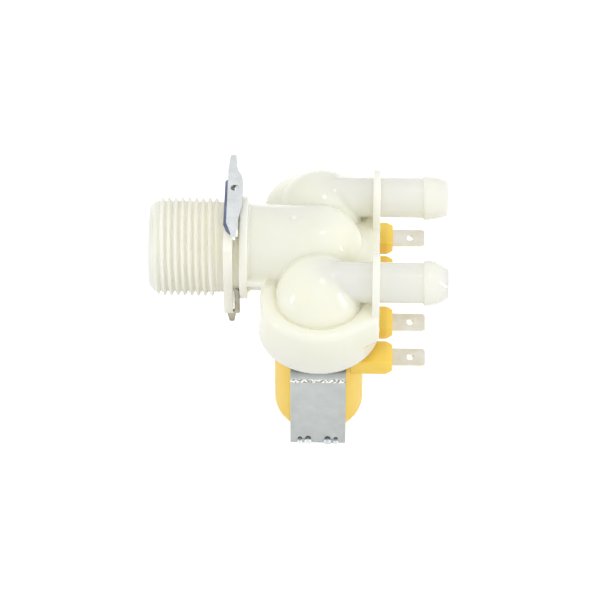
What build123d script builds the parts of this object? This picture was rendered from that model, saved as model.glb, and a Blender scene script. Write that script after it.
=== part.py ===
import math
import os

from build123d import *

# Washing machine inlet valve with two coils, in millimetres.
# The origin is the centre of the inlet mouth. +X runs from the inlet to the outlets, and +Z is up, with the
# domes of the valve chambers on top and the coils hanging below. The front valve is at -Y.

# Inlet connection: a G 3/4 pipe thread on a tube
THREAD_OD = 26.4
THREAD_PITCH = 1.814
THREAD_DEPTH = 1.16
THREAD_TURNS = 9
THREAD_START = 2.4
CREST_LAND = 0.3
MOUTH_R = 11.0
INLET_BORE_R = 9.7
SEAT_BORE_R = 8.4
SEAT_X = 26.0

# Neck flanges that hold the bracket, and the pipe behind them
FLANGE_X = 20.0
FLANGE_T = 2.45
FLANGE_HALF = 13.0
FLANGE_CORNER = 1.6
GROOVE_W = 1.75
NECK_R = 11.7
COLLAR_R = 13.8
COLLAR_T = 2.1
COLLAR_FILLET = 1.1
PIPE_R = 11.6
RIB_OUT = 1.8
RIB_T = 2.0
RIB_TOP_Z = 0.4
GATE_X = 38.4
GATE_R = 1.5
GATE_H = 0.5

# Valve chambers
CHAMBER_X = 45.5
SPACING = 31.2
CUP_BASE_R = 16.3
CUP_TOP_R = 15.7
CUP_BASE_Z = -15.0
RIM_Z = -1.2
RIM_ROUND = 1.5
RIM_EDGE = 0.4
GROOVE_R = 12.3
GROOVE_FLOOR_Z = -3.0
DOME_R = 11.5
DOME_SIDE_Z = -2.0
DOME_TOP_Z = 8.3
SADDLE_R = 9.6
SADDLE_Z = 3.4
SADDLE_START = 10
SADDLE_END = {"front": 155, "rear": 190}
CHANNEL_HALF = 6.4
CHANNEL_WALL = 3.2
DECK_H = 9.5

# Outlets
OUTLET_Z = 3.8
STUB_R = 5.4
OUTLET_BORE_R = 3.5
PLATE_REACH = 16.0
PLATE_T = 2.0
PLATE_R = 7.6
STUB_LENGTH = 11.8
BARB_R = 6.05
BARB_LAND = 1.0
BARB_TIP_R = 4.4
BARB_LENGTH = 6.3

# Water way inside the body
WAY_R = 9.0
WAY_TOP_Z = -1.7
SEAT_TUBE_R = 4.9
SEAT_BORE = 3.4
SEAT_Z = -9.6
PORT_R = 3.0
PORT_Z = -5.6
RECESS_R = 13.2
RECESS_Z = -11.4

# Clearances
FIT = 0.05
SEAL_GAP = 0.1
SLIDE_GAP = 0.08

# Diaphragm and its insert
DIAPHRAGM_HUB_R = 6.2
DIAPHRAGM_HUB_T = 1.2
DIAPHRAGM_HOLE_R = 1.9
DIAPHRAGM_WEB_T = 0.6
WEB_FOOT_R = 8.2
BEAD_INNER_R = 10.6
BEAD_T = 1.8
INSERT_R = 5.9
INSERT_T = 1.1
NOZZLE_R = 1.1
NOZZLE_H = 0.8
PILOT_R = 0.5

# Guide tube, plunger and spring
COVER_RECESS_R = 6.7
COVER_FLOOR_Z = -15.1
BOSS_R = 7.0
GUIDE_R = 5.0
GUIDE_BORE_R = 4.1
GUIDE_END_Z = -43.2
GUIDE_FLOOR_T = 1.2
PLUNGER_TRAVEL = 2.5
PLUNGER_STOP_GAP = 1.9
PILOT_GAP = 0.3
PLUNGER_SEAL_R = 1.7
PLUNGER_SEAL_H = 0.75
PLUNGER_SEAL_SOCKET = 1.4
SPRING_R = 2.4
SPRING_WIRE_R = 0.3
SPRING_TURNS = 5
SPRING_POCKET = 2.4
SPRING_POCKET_R = 3.0
FLUTE_R = 0.7
FLUTES = 3
SEAL_EDGE = 0.3
SPRING_WIRE_SIDES = 8

# Coil
YOKE_T = 1.6
YOKE_W = 14.9
YOKE_TOP_Z = -19.4
YOKE_BOTTOM_Z = -47.4
YOKE_BACK = 8.5
YOKE_BEND_R = 2.1
TAB_W = 3.4
TAB_PITCH = 7.5
TAB_PROUD = 0.7
TAB_SPLIT = 0.7
NOTCH_GAP = 0.8
DRUM_R = 11.9
DRUM_FLAT = 1.05
DRUM_WALL = 2.1
DRUM_BOTTOM_Z = -45.0
DRUM_ROUND = 3.4
HEAD_RISE = 0.5
BOBBIN_BORE_R = 6.2
BOBBIN_WALL = 0.8
BOBBIN_FLANGE_T = 1.0
BOBBIN_HIGH_Z = -22.2
BOBBIN_LOW_Z = -43.9
WINDING_MARGIN = 0.4
SLEEVE_LENGTH = 10.0
SLEEVE_T = 1.0

# Terminals and the arms that carry them
BLADE_W = 6.3
BLADE_T = 0.8
BLADE_PROUD = 8.8
BLADE_HOLE_R = 0.82
BLADE_HOLE_SETBACK = 4.1
BLADE_SEAT = 7.2
BLADE_TIP_CHAMFER = 1.0
TERMINAL_Z = -19.0
TERMINAL_SPACING = 12.6
ARM_W = 7.9
ARM_T = 4.7
ARM_LENGTH = 12.2
ARM_ROOT = 1.0
ARM_CHAMFER = 1.0

# Strainer and flow regulator in the inlet
FILTER_X = 2.5
FILTER_RING_T = 2.2
FILTER_LENGTH = 15.5
FILTER_BORE_R = 8.3
FILTER_WALL = 0.8
FILTER_TIP_R = 3.2
FILTER_SLOTS = 12
FILTER_SLOT_W = 1.2
HOLDER_T = 5.0
HOLDER_BORE_R = 3.0
WASHER_R = 6.5
WASHER_T = 3.0
WASHER_BORE_R = 2.2

# Bracket
BRACKET_T = 1.1
BRACKET_LEG = 2.1
BRACKET_FRONT_Y = -11.4
BRACKET_GRIP_Z = -4.6
BRACKET_TOP_FRONT_Y = -7.5
BRACKET_BACK_Y = 15.0
LEAF_GAP = 0.1
LEAF_LEFT = 3.9
LEAF_RIGHT = 0.9
LEAF_TIP_Y = 19.8
LEAF_TIP_W = 1.6
LEAF_SHOULDER_Y = 13.6
LEAF_WAIST_Y = -6.1
LEAF_NOSE_Y = -10.9
LEAF_LIP_BACK_Y = 12.0
BRACKET_HOLE_R = 1.1
BRACKET_HOLE_Y = 7.5
HOOK_TIP_W = 1.3
HOOK_REACH = 1.7
HOOK_DROP = 3.1

os.makedirs("parts", exist_ok=True)

GROOVE_X = FLANGE_X + FLANGE_T
COLLAR_X = GROOVE_X + GROOVE_W
PLATE_X = CHAMBER_X + PLATE_REACH
BARB_X = PLATE_X + STUB_LENGTH
TIP_X = BARB_X + BARB_LENGTH
VALVES = {"front": -SPACING / 2, "rear": SPACING / 2}
THREAD_R = THREAD_OD / 2
PLATE_BACK_X = PLATE_X - PLATE_T
YOKE_HOLE_R = GUIDE_R + FIT
YOKE_FACE = DRUM_R - DRUM_FLAT + FIT + YOKE_T
COIL_CAVITY_R = DRUM_R - DRUM_WALL
HEAD_X = YOKE_W / 2 + FIT
ARM_END_X = CHAMBER_X + HEAD_X + ARM_LENGTH
BLADE_TIP_X = ARM_END_X + BLADE_PROUD
BLADE_ROOT_X = ARM_END_X - BLADE_SEAT
GUIDE_FLOOR_Z = GUIDE_END_Z + GUIDE_FLOOR_T
BRACKET_X = GROOVE_X + (GROOVE_W - BRACKET_T) / 2
INSERT_TOP_Z = SEAT_Z - SEAL_GAP
INSERT_DISC_Z = INSERT_TOP_Z - DIAPHRAGM_HUB_T - FIT
NOZZLE_END_Z = INSERT_DISC_Z - INSERT_T - NOZZLE_H
PLUNGER_TOP_Z = NOZZLE_END_Z - PILOT_GAP - PLUNGER_SEAL_H
PLUNGER_BOTTOM_Z = GUIDE_FLOOR_Z + PLUNGER_STOP_GAP + PLUNGER_TRAVEL


def save(part, name):
    part.label = name
    export_step(part, f"parts/{name}.step")


def at_valve(y, z=0.0):
    """A horizontal plane on a valve's own axis."""
    return Plane.XY.offset(z).move(Location((CHAMBER_X, y, 0)))


def section_at(y):
    """The plane of a half-section to be turned about a valve's vertical axis: x is the radius, y is height."""
    return Plane(origin=(CHAMBER_X, y, 0), x_dir=(1, 0, 0), z_dir=(0, -1, 0))


def valve_axis(y):
    return Axis((CHAMBER_X, y, 0), (0, 0, 1))


def inlet_outline():
    """Outer line of the inlet, thread crests included, from the mouth to the collar behind the groove."""
    root = THREAD_R - THREAD_DEPTH
    points = [(0, 0), (0, MOUTH_R), (THREAD_START - 1.4, root)]
    flank = (THREAD_PITCH - 2 * CREST_LAND) / 2
    for turn in range(THREAD_TURNS):
        start = THREAD_START + turn * THREAD_PITCH
        crest = THREAD_R - (0.25 if turn == 0 else 0)
        points += [
            (start, root),
            (start + flank, crest),
            (start + flank + CREST_LAND, crest),
            (start + 2 * flank + CREST_LAND, root),
        ]
    points += [
        (GROOVE_X, root),
        (GROOVE_X, NECK_R),
        (COLLAR_X, NECK_R),
        (COLLAR_X, COLLAR_R),
        (COLLAR_X + COLLAR_T, COLLAR_R),
        (COLLAR_X + COLLAR_T, PIPE_R + COLLAR_FILLET),
        (COLLAR_X + COLLAR_T + COLLAR_FILLET, PIPE_R),
        (CHAMBER_X, PIPE_R),
        (CHAMBER_X, 0),
    ]
    return points


with BuildPart() as valve_body:
    # Cups of the two chambers
    for y in VALVES.values():
        with BuildSketch(section_at(y)):
            with BuildLine():
                Polyline((CUP_TOP_R - RIM_ROUND, RIM_Z), (0, RIM_Z), (0, CUP_BASE_Z), (CUP_BASE_R, CUP_BASE_Z))
                Line((CUP_BASE_R, CUP_BASE_Z), (CUP_TOP_R, RIM_Z - RIM_ROUND))
                CenterArc((CUP_TOP_R - RIM_ROUND, RIM_Z - RIM_ROUND), RIM_ROUND, 0, 90)
            make_face()
        revolve(axis=valve_axis(y))
    # Deck that joins the cups and carries the outlet plates
    with BuildSketch(Plane.XY.offset(RIM_Z - DECK_H)):
        with Locations(((CHAMBER_X + PLATE_X) / 2, 0)):
            Rectangle(PLATE_X - CHAMBER_X, SPACING + 2 * (CHANNEL_HALF + CHANNEL_WALL))
    extrude(amount=DECK_H)
    # Narrow groove between the flat rim and the dome, wider towards the outlet plate
    for y in VALVES.values():
        with BuildSketch(section_at(y)):
            with BuildLine():
                groove_top = RIM_Z + RIM_ROUND
                Polyline(
                    (0, GROOVE_FLOOR_Z),
                    (GROOVE_R, GROOVE_FLOOR_Z),
                    (GROOVE_R, RIM_Z - RIM_EDGE),
                    (GROOVE_R + RIM_EDGE, RIM_Z),
                    (GROOVE_R + RIM_EDGE, groove_top),
                    (0, groove_top),
                    close=True,
                )
            make_face()
        revolve(axis=valve_axis(y), mode=Mode.SUBTRACT)
        with BuildSketch(at_valve(y, GROOVE_FLOOR_Z)):
            with Locations(((PLATE_BACK_X - CHAMBER_X) / 2, 0)):
                Rectangle(PLATE_BACK_X - CHAMBER_X, 2 * CHANNEL_HALF)
        extrude(amount=RIM_Z - GROOVE_FLOOR_Z, mode=Mode.SUBTRACT)
    # Domes
    for side, y in VALVES.items():
        with BuildSketch(section_at(y)):
            with BuildLine():
                Line((0, GROOVE_FLOOR_Z), (DOME_R, GROOVE_FLOOR_Z))
                Line((DOME_R, GROOVE_FLOOR_Z), (DOME_R, DOME_SIDE_Z))
                EllipticalCenterArc(
                    (0, DOME_SIDE_Z), DOME_R, DOME_TOP_Z - DOME_SIDE_Z, start_angle=0, arc_size=90
                )
                Line((0, DOME_TOP_Z), (0, GROOVE_FLOOR_Z))
            make_face()
        revolve(axis=valve_axis(y))
        # Behind the dome the groove is filled by a slope from the rim
        start = math.radians(SADDLE_START)
        saddle_plane = Plane(
            origin=(CHAMBER_X, y, 0),
            x_dir=(math.cos(start), math.sin(start), 0),
            z_dir=(math.sin(start), -math.cos(start), 0),
        )
        with BuildSketch(saddle_plane):
            with BuildLine():
                Polyline(
                    (SADDLE_R, GROOVE_FLOOR_Z - RIM_ROUND),
                    (CUP_TOP_R - RIM_EDGE, GROOVE_FLOOR_Z - RIM_ROUND),
                    (CUP_TOP_R - RIM_EDGE, RIM_Z),
                    (SADDLE_R, SADDLE_Z),
                    close=True,
                )
            make_face()
        revolve(axis=valve_axis(y), revolution_arc=SADDLE_END[side] - SADDLE_START)
    # Inlet with its thread, neck, collar and pipe
    with BuildSketch(Plane.XY):
        with BuildLine():
            Polyline(*inlet_outline(), close=True)
        make_face()
    revolve(axis=Axis.X)
    with Locations((CHAMBER_X, 0, 0)):
        Sphere(PIPE_R)
    # Flat rib along each side of the pipe, from the collar to the rims
    rib_end = CHAMBER_X - CUP_TOP_R + RIM_ROUND
    with BuildSketch(Plane.XY.offset(RIB_TOP_Z - RIB_T)):
        with Locations(((COLLAR_X + COLLAR_T / 2 + rib_end) / 2, 0)):
            Rectangle(rib_end - COLLAR_X - COLLAR_T / 2, 2 * (PIPE_R + RIB_OUT))
    extrude(amount=RIB_T)
    with BuildSketch(Plane.YZ.offset(FLANGE_X)):
        RectangleRounded(2 * FLANGE_HALF, 2 * FLANGE_HALF, FLANGE_CORNER)
    extrude(amount=FLANGE_T)
    with BuildSketch(Plane.XY.offset(PIPE_R - GATE_H)):
        with Locations((GATE_X, 0)):
            Circle(GATE_R)
    extrude(amount=2 * GATE_H)
    # Outlet plates, stubs and barbs
    for y in VALVES.values():
        with BuildSketch(Plane.YZ.offset(PLATE_BACK_X)):
            with Locations((y, OUTLET_Z)):
                Circle(PLATE_R)
            with Locations((y, (OUTLET_Z + RIM_Z) / 2)):
                Rectangle(2 * PLATE_R, OUTLET_Z - RIM_Z)
        extrude(amount=PLATE_T)
        with BuildSketch(Plane(origin=(0, y, OUTLET_Z), x_dir=(1, 0, 0), z_dir=(0, 0, 1))):
            with BuildLine():
                Polyline(
                    (CHAMBER_X, 0),
                    (CHAMBER_X, STUB_R),
                    (BARB_X, STUB_R),
                    (BARB_X, BARB_R),
                    (BARB_X + BARB_LAND, BARB_R),
                    (TIP_X - 1, BARB_TIP_R + 0.5),
                    (TIP_X, BARB_TIP_R),
                    (TIP_X, 0),
                    close=True,
                )
            make_face()
        revolve(axis=Axis((0, y, OUTLET_Z), (1, 0, 0)))
    # Water way: inlet bore, ring chambers under the domes, seat tubes and outlet bores
    with BuildSketch(Plane.XY):
        with BuildLine():
            Polyline(
                (0, 0),
                (0, INLET_BORE_R),
                (SEAT_X, INLET_BORE_R),
                (SEAT_X, SEAT_BORE_R),
                (CHAMBER_X, SEAT_BORE_R),
                (CHAMBER_X + SEAT_BORE_R * 0.6, SEAT_BORE_R * 0.6),
                (CHAMBER_X + SEAT_BORE_R * 0.6, 0),
                close=True,
            )
        make_face()
    revolve(axis=Axis.X, mode=Mode.SUBTRACT)
    port_half = SPACING / 2 - SEAT_TUBE_R - FIT
    with BuildSketch(Plane.XZ.offset(-port_half)):
        with Locations((CHAMBER_X, PORT_Z)):
            Circle(PORT_R)
    extrude(amount=2 * port_half, mode=Mode.SUBTRACT)
    for y in VALVES.values():
        with BuildSketch(at_valve(y, CUP_BASE_Z)):
            Circle(RECESS_R)
        extrude(amount=RECESS_Z - CUP_BASE_Z, mode=Mode.SUBTRACT)
        with BuildSketch(at_valve(y, RECESS_Z)):
            Circle(WAY_R)
            Circle(SEAT_TUBE_R, mode=Mode.SUBTRACT)
        extrude(amount=WAY_TOP_Z - RECESS_Z, mode=Mode.SUBTRACT)
        with BuildSketch(at_valve(y, RECESS_Z)):
            Circle(WAY_R)
        extrude(amount=SEAT_Z - RECESS_Z, mode=Mode.SUBTRACT)
        with BuildSketch(at_valve(y, SEAT_Z)):
            Circle(SEAT_BORE)
        extrude(amount=OUTLET_Z - SEAT_Z, mode=Mode.SUBTRACT)
        with BuildSketch(Plane.YZ.offset(CHAMBER_X)):
            with Locations((y, OUTLET_Z)):
                Circle(OUTLET_BORE_R)
        extrude(amount=TIP_X - CHAMBER_X, mode=Mode.SUBTRACT)
save(valve_body.part, "valve_body")


# Strainer basket pushed into the inlet: a ring, a cone of ribs and a solid tip
with BuildPart() as inlet_filter:
    with BuildSketch(Plane.XY):
        with BuildLine():
            Polyline(
                (FILTER_X, FILTER_BORE_R),
                (FILTER_X, INLET_BORE_R - FIT),
                (FILTER_X + FILTER_RING_T, INLET_BORE_R - FIT),
                (FILTER_X + FILTER_RING_T, FILTER_BORE_R + FILTER_WALL),
                (FILTER_X + FILTER_LENGTH, FILTER_TIP_R),
                (FILTER_X + FILTER_LENGTH, 0),
                (FILTER_X + FILTER_LENGTH - FILTER_WALL, 0),
                (FILTER_X + FILTER_LENGTH - FILTER_WALL, FILTER_TIP_R - FILTER_WALL),
                close=True,
            )
        make_face()
    revolve(axis=Axis.X)
    with BuildSketch(Plane.YZ.offset(FILTER_X + FILTER_RING_T + FILTER_WALL)):
        with PolarLocations((FILTER_BORE_R + FILTER_TIP_R) / 2, FILTER_SLOTS):
            Rectangle(FILTER_BORE_R, FILTER_SLOT_W)
    extrude(amount=FILTER_LENGTH - FILTER_RING_T - 3 * FILTER_WALL, mode=Mode.SUBTRACT)
save(inlet_filter.part, "inlet_filter")

# Flow regulator: a plastic holder with a rubber washer in its cup
with BuildPart() as flow_holder:
    with BuildSketch(Plane.YZ.offset(SEAT_X - HOLDER_T)):
        Circle(INLET_BORE_R - FIT)
        Circle(HOLDER_BORE_R, mode=Mode.SUBTRACT)
    extrude(amount=HOLDER_T)
    with BuildSketch(Plane.YZ.offset(SEAT_X - HOLDER_T)):
        Circle(WASHER_R + FIT)
    extrude(amount=WASHER_T, mode=Mode.SUBTRACT)
save(flow_holder.part, "flow_regulator_holder")

with BuildPart() as flow_washer:
    with BuildSketch(Plane.YZ.offset(SEAT_X - HOLDER_T)):
        Circle(WASHER_R)
        Circle(WASHER_BORE_R, mode=Mode.SUBTRACT)
    extrude(amount=WASHER_T)
save(flow_washer.part, "flow_regulator_washer")

# Bracket: a fork sprung over the neck from behind, with a leaf folded over the square flange and its collar
with BuildPart() as bracket:
    slot = NECK_R + FIT
    leg_out = slot + BRACKET_LEG
    leaf_z = COLLAR_R + LEAF_GAP
    back_x = BRACKET_X + BRACKET_T
    leaf_left = back_x - LEAF_LEFT
    leaf_right = back_x + LEAF_RIGHT
    grip_y = -math.sqrt(slot**2 - BRACKET_GRIP_Z**2)
    with BuildSketch(Plane.YZ.offset(BRACKET_X)):
        with BuildLine():
            bow = ThreePointArc((grip_y, BRACKET_GRIP_Z), (slot * math.sqrt(0.5), -slot * math.sqrt(0.5)), (0, slot))
            Polyline(
                bow @ 1,
                (BRACKET_TOP_FRONT_Y, slot),
                (BRACKET_TOP_FRONT_Y, leaf_z + BRACKET_T / 2),
                (BRACKET_BACK_Y, leaf_z + BRACKET_T / 2),
                (BRACKET_BACK_Y, -NECK_R * 0.6),
                (BRACKET_BACK_Y * 0.45, -leg_out),
                (BRACKET_FRONT_Y, -leg_out),
                (BRACKET_FRONT_Y, BRACKET_GRIP_Z),
                bow @ 0,
            )
        make_face()
    extrude(amount=BRACKET_T)
    # Hook at the end of the lower leg, bent across under the square flange
    with BuildSketch(Plane.XZ.offset(-BRACKET_FRONT_Y)):
        with BuildLine():
            hook_left = BRACKET_X - HOOK_REACH
            hook_mid = (hook_left + back_x) / 2
            hook_top = -leg_out + BRACKET_LEG / 3
            Polyline(
                (hook_left, hook_top),
                (hook_left, -leg_out - HOOK_DROP * 0.2),
                (hook_mid - HOOK_TIP_W / 2, -leg_out - HOOK_DROP),
                (hook_mid + HOOK_TIP_W / 2, -leg_out - HOOK_DROP),
                (back_x, -leg_out - HOOK_DROP * 0.2),
                (back_x, hook_top),
                close=True,
            )
        make_face()
    extrude(amount=-BRACKET_T)
    # Leaf on top, with a pointed back end, a tapered nose and a hole
    with BuildSketch(Plane.XY.offset(leaf_z)):
        with BuildLine():
            tip_right = BRACKET_X + BRACKET_T * 0.2
            tip_left = tip_right - LEAF_TIP_W
            nose_left = back_x - BRACKET_T * 1.3
            Polyline((tip_right, LEAF_TIP_Y), (tip_left, LEAF_TIP_Y), (leaf_left, LEAF_SHOULDER_Y))
            left = Line((leaf_left, LEAF_SHOULDER_Y), (leaf_left, LEAF_WAIST_Y))
            sweep_in = TangentArc(left @ 1, (nose_left, LEAF_NOSE_Y + LEAF_TIP_W), tangent=left % 1)
            nose = Polyline(sweep_in @ 1, (nose_left, LEAF_NOSE_Y), (back_x - BRACKET_T * 0.3, LEAF_NOSE_Y))
            bulge = Spline(
                nose @ 1,
                (leaf_right - LEAF_RIGHT * 0.3, LEAF_WAIST_Y / 2),
                (leaf_right, 1.0),
                (leaf_right - LEAF_RIGHT * 0.2, BRACKET_HOLE_Y + BRACKET_HOLE_R),
                (tip_right, LEAF_SHOULDER_Y),
            )
            Line(bulge @ 1, (tip_right, LEAF_TIP_Y))
        make_face()
        with Locations((BRACKET_X - BRACKET_T * 0.2, BRACKET_HOLE_Y)):
            Circle(BRACKET_HOLE_R, mode=Mode.SUBTRACT)
    extrude(amount=BRACKET_T)
    # Lip turned down from the leaf's left edge onto the square flange
    with BuildSketch(Plane.XY.offset(FLANGE_HALF + FIT)):
        with Locations((leaf_left + BRACKET_T / 2, (LEAF_WAIST_Y + LEAF_LIP_BACK_Y) / 2)):
            Rectangle(BRACKET_T, LEAF_LIP_BACK_Y - LEAF_WAIST_Y)
    extrude(amount=leaf_z + BRACKET_T / 2 - FLANGE_HALF - FIT)
save(bracket.part, "mounting_bracket")


def make_diaphragm(y):
    """Rubber diaphragm: a flat hub on the seat, a thin web and a bead that the cover clamps."""
    hub_z = INSERT_TOP_Z
    bead_top = RECESS_Z - FIT
    web_z = bead_top - BEAD_T / 2
    with BuildPart() as diaphragm:
        with BuildSketch(section_at(y)):
            with BuildLine():
                Polyline(
                    (DIAPHRAGM_HOLE_R, hub_z),
                    (DIAPHRAGM_HUB_R, hub_z),
                    (WEB_FOOT_R, web_z + DIAPHRAGM_WEB_T / 2),
                    (BEAD_INNER_R, web_z + DIAPHRAGM_WEB_T / 2),
                    (BEAD_INNER_R, bead_top),
                    (RECESS_R - FIT, bead_top),
                    (RECESS_R - FIT, bead_top - BEAD_T),
                    (BEAD_INNER_R, bead_top - BEAD_T),
                    (BEAD_INNER_R, web_z - DIAPHRAGM_WEB_T / 2),
                    (WEB_FOOT_R, web_z - DIAPHRAGM_WEB_T / 2),
                    (DIAPHRAGM_HUB_R, hub_z - DIAPHRAGM_HUB_T),
                    (DIAPHRAGM_HOLE_R, hub_z - DIAPHRAGM_HUB_T),
                    close=True,
                )
            make_face()
        revolve(axis=valve_axis(y))
    return diaphragm.part


def make_insert(y):
    """Plastic insert that stiffens the diaphragm and holds the pilot hole."""
    disc_bottom = INSERT_DISC_Z - INSERT_T
    with BuildPart() as insert:
        with BuildSketch(section_at(y)):
            with BuildLine():
                Polyline(
                    (PILOT_R, INSERT_TOP_Z),
                    (DIAPHRAGM_HOLE_R - FIT, INSERT_TOP_Z),
                    (DIAPHRAGM_HOLE_R - FIT, INSERT_DISC_Z),
                    (INSERT_R, INSERT_DISC_Z),
                    (INSERT_R, disc_bottom),
                    (NOZZLE_R, disc_bottom),
                    (NOZZLE_R, NOZZLE_END_Z),
                    (PILOT_R, NOZZLE_END_Z),
                    close=True,
                )
            make_face()
        revolve(axis=valve_axis(y))
    return insert.part


def make_guide(y):
    """Cover that clamps the bead, in one piece with the closed tube that guides the plunger."""
    cover_top = RECESS_Z - FIT - BEAD_T - FIT
    with BuildPart() as guide:
        with BuildSketch(section_at(y)):
            with BuildLine():
                Polyline(
                    (COVER_RECESS_R, cover_top),
                    (RECESS_R - FIT, cover_top),
                    (RECESS_R - FIT, CUP_BASE_Z),
                    (BOSS_R, CUP_BASE_Z),
                    (BOSS_R, YOKE_TOP_Z),
                    (GUIDE_R, YOKE_TOP_Z),
                    (GUIDE_R, GUIDE_END_Z),
                    (0, GUIDE_END_Z),
                    (0, GUIDE_FLOOR_Z),
                    (GUIDE_BORE_R, GUIDE_FLOOR_Z),
                    (GUIDE_BORE_R, COVER_FLOOR_Z),
                    (COVER_RECESS_R, COVER_FLOOR_Z),
                    close=True,
                )
            make_face()
        revolve(axis=valve_axis(y))
    return guide.part


def make_plunger(y):
    """Steel plunger with flutes for the water, a socket for its seal and a pocket for the spring."""
    plunger_r = GUIDE_BORE_R - SLIDE_GAP
    with BuildPart() as plunger:
        with BuildSketch(at_valve(y, PLUNGER_BOTTOM_Z)):
            Circle(plunger_r)
            with PolarLocations(plunger_r, FLUTES):
                Circle(FLUTE_R, mode=Mode.SUBTRACT)
        extrude(amount=PLUNGER_TOP_Z - PLUNGER_BOTTOM_Z)
        with BuildSketch(at_valve(y, PLUNGER_BOTTOM_Z)):
            Circle(SPRING_POCKET_R)
        extrude(amount=SPRING_POCKET, mode=Mode.SUBTRACT)
        with BuildSketch(at_valve(y, PLUNGER_TOP_Z)):
            Circle(PLUNGER_SEAL_R + FIT)
        extrude(amount=-PLUNGER_SEAL_SOCKET, mode=Mode.SUBTRACT)
    return plunger.part


def make_plunger_seal(y):
    with BuildPart() as seal:
        with BuildSketch(at_valve(y, PLUNGER_TOP_Z - PLUNGER_SEAL_SOCKET)):
            Circle(PLUNGER_SEAL_R)
        extrude(amount=PLUNGER_SEAL_SOCKET + PLUNGER_SEAL_H)
        chamfer(seal.faces().sort_by(Axis.Z)[-1].edges(), SEAL_EDGE)
    return seal.part


def make_spring(y):
    """Return spring between the floor of the guide tube and the plunger's pocket."""
    foot = GUIDE_FLOOR_Z + FIT
    head = PLUNGER_BOTTOM_Z + SPRING_POCKET - FIT
    height = head - foot - 2 * SPRING_WIRE_R
    start = foot + SPRING_WIRE_R
    with BuildPart() as spring:
        with BuildLine(at_valve(y, start)):
            coil = Helix(height / SPRING_TURNS, height, SPRING_R)
        with BuildSketch(Plane(coil @ 0, z_dir=coil % 0)):
            RegularPolygon(SPRING_WIRE_R, SPRING_WIRE_SIDES)
        sweep(path=coil, is_frenet=True)
    return spring.part


def make_bobbin(y):
    """Plastic spool between the yoke's top plate and its end plate."""
    low = BOBBIN_LOW_Z
    high = BOBBIN_HIGH_Z
    tube_r = BOBBIN_BORE_R + BOBBIN_WALL
    flange_r = COIL_CAVITY_R - FIT
    with BuildPart() as bobbin:
        with BuildSketch(section_at(y)):
            with BuildLine():
                Polyline(
                    (BOBBIN_BORE_R, high),
                    (flange_r, high),
                    (flange_r, high - BOBBIN_FLANGE_T),
                    (tube_r, high - BOBBIN_FLANGE_T),
                    (tube_r, low + BOBBIN_FLANGE_T),
                    (flange_r, low + BOBBIN_FLANGE_T),
                    (flange_r, low),
                    (BOBBIN_BORE_R, low),
                    close=True,
                )
            make_face()
        revolve(axis=valve_axis(y))
    return bobbin.part


def make_winding(y):
    """Copper winding as one ring that fills the spool."""
    low = BOBBIN_LOW_Z + BOBBIN_FLANGE_T + FIT
    high = BOBBIN_HIGH_Z - BOBBIN_FLANGE_T - FIT
    with BuildPart() as winding:
        with BuildSketch(at_valve(y, low)):
            Circle(COIL_CAVITY_R - WINDING_MARGIN)
            Circle(BOBBIN_BORE_R + BOBBIN_WALL + FIT, mode=Mode.SUBTRACT)
        extrude(amount=high - low)
    return winding.part


def make_sleeve(y):
    """Rolled steel sleeve round the end of the guide tube, standing on the end plate."""
    with BuildPart() as sleeve:
        with BuildSketch(at_valve(y, YOKE_BOTTOM_Z + YOKE_T + FIT)):
            Circle(GUIDE_R + FIT + SLEEVE_T)
            Circle(GUIDE_R + FIT, mode=Mode.SUBTRACT)
        extrude(amount=SLEEVE_LENGTH)
    return sleeve.part


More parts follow.
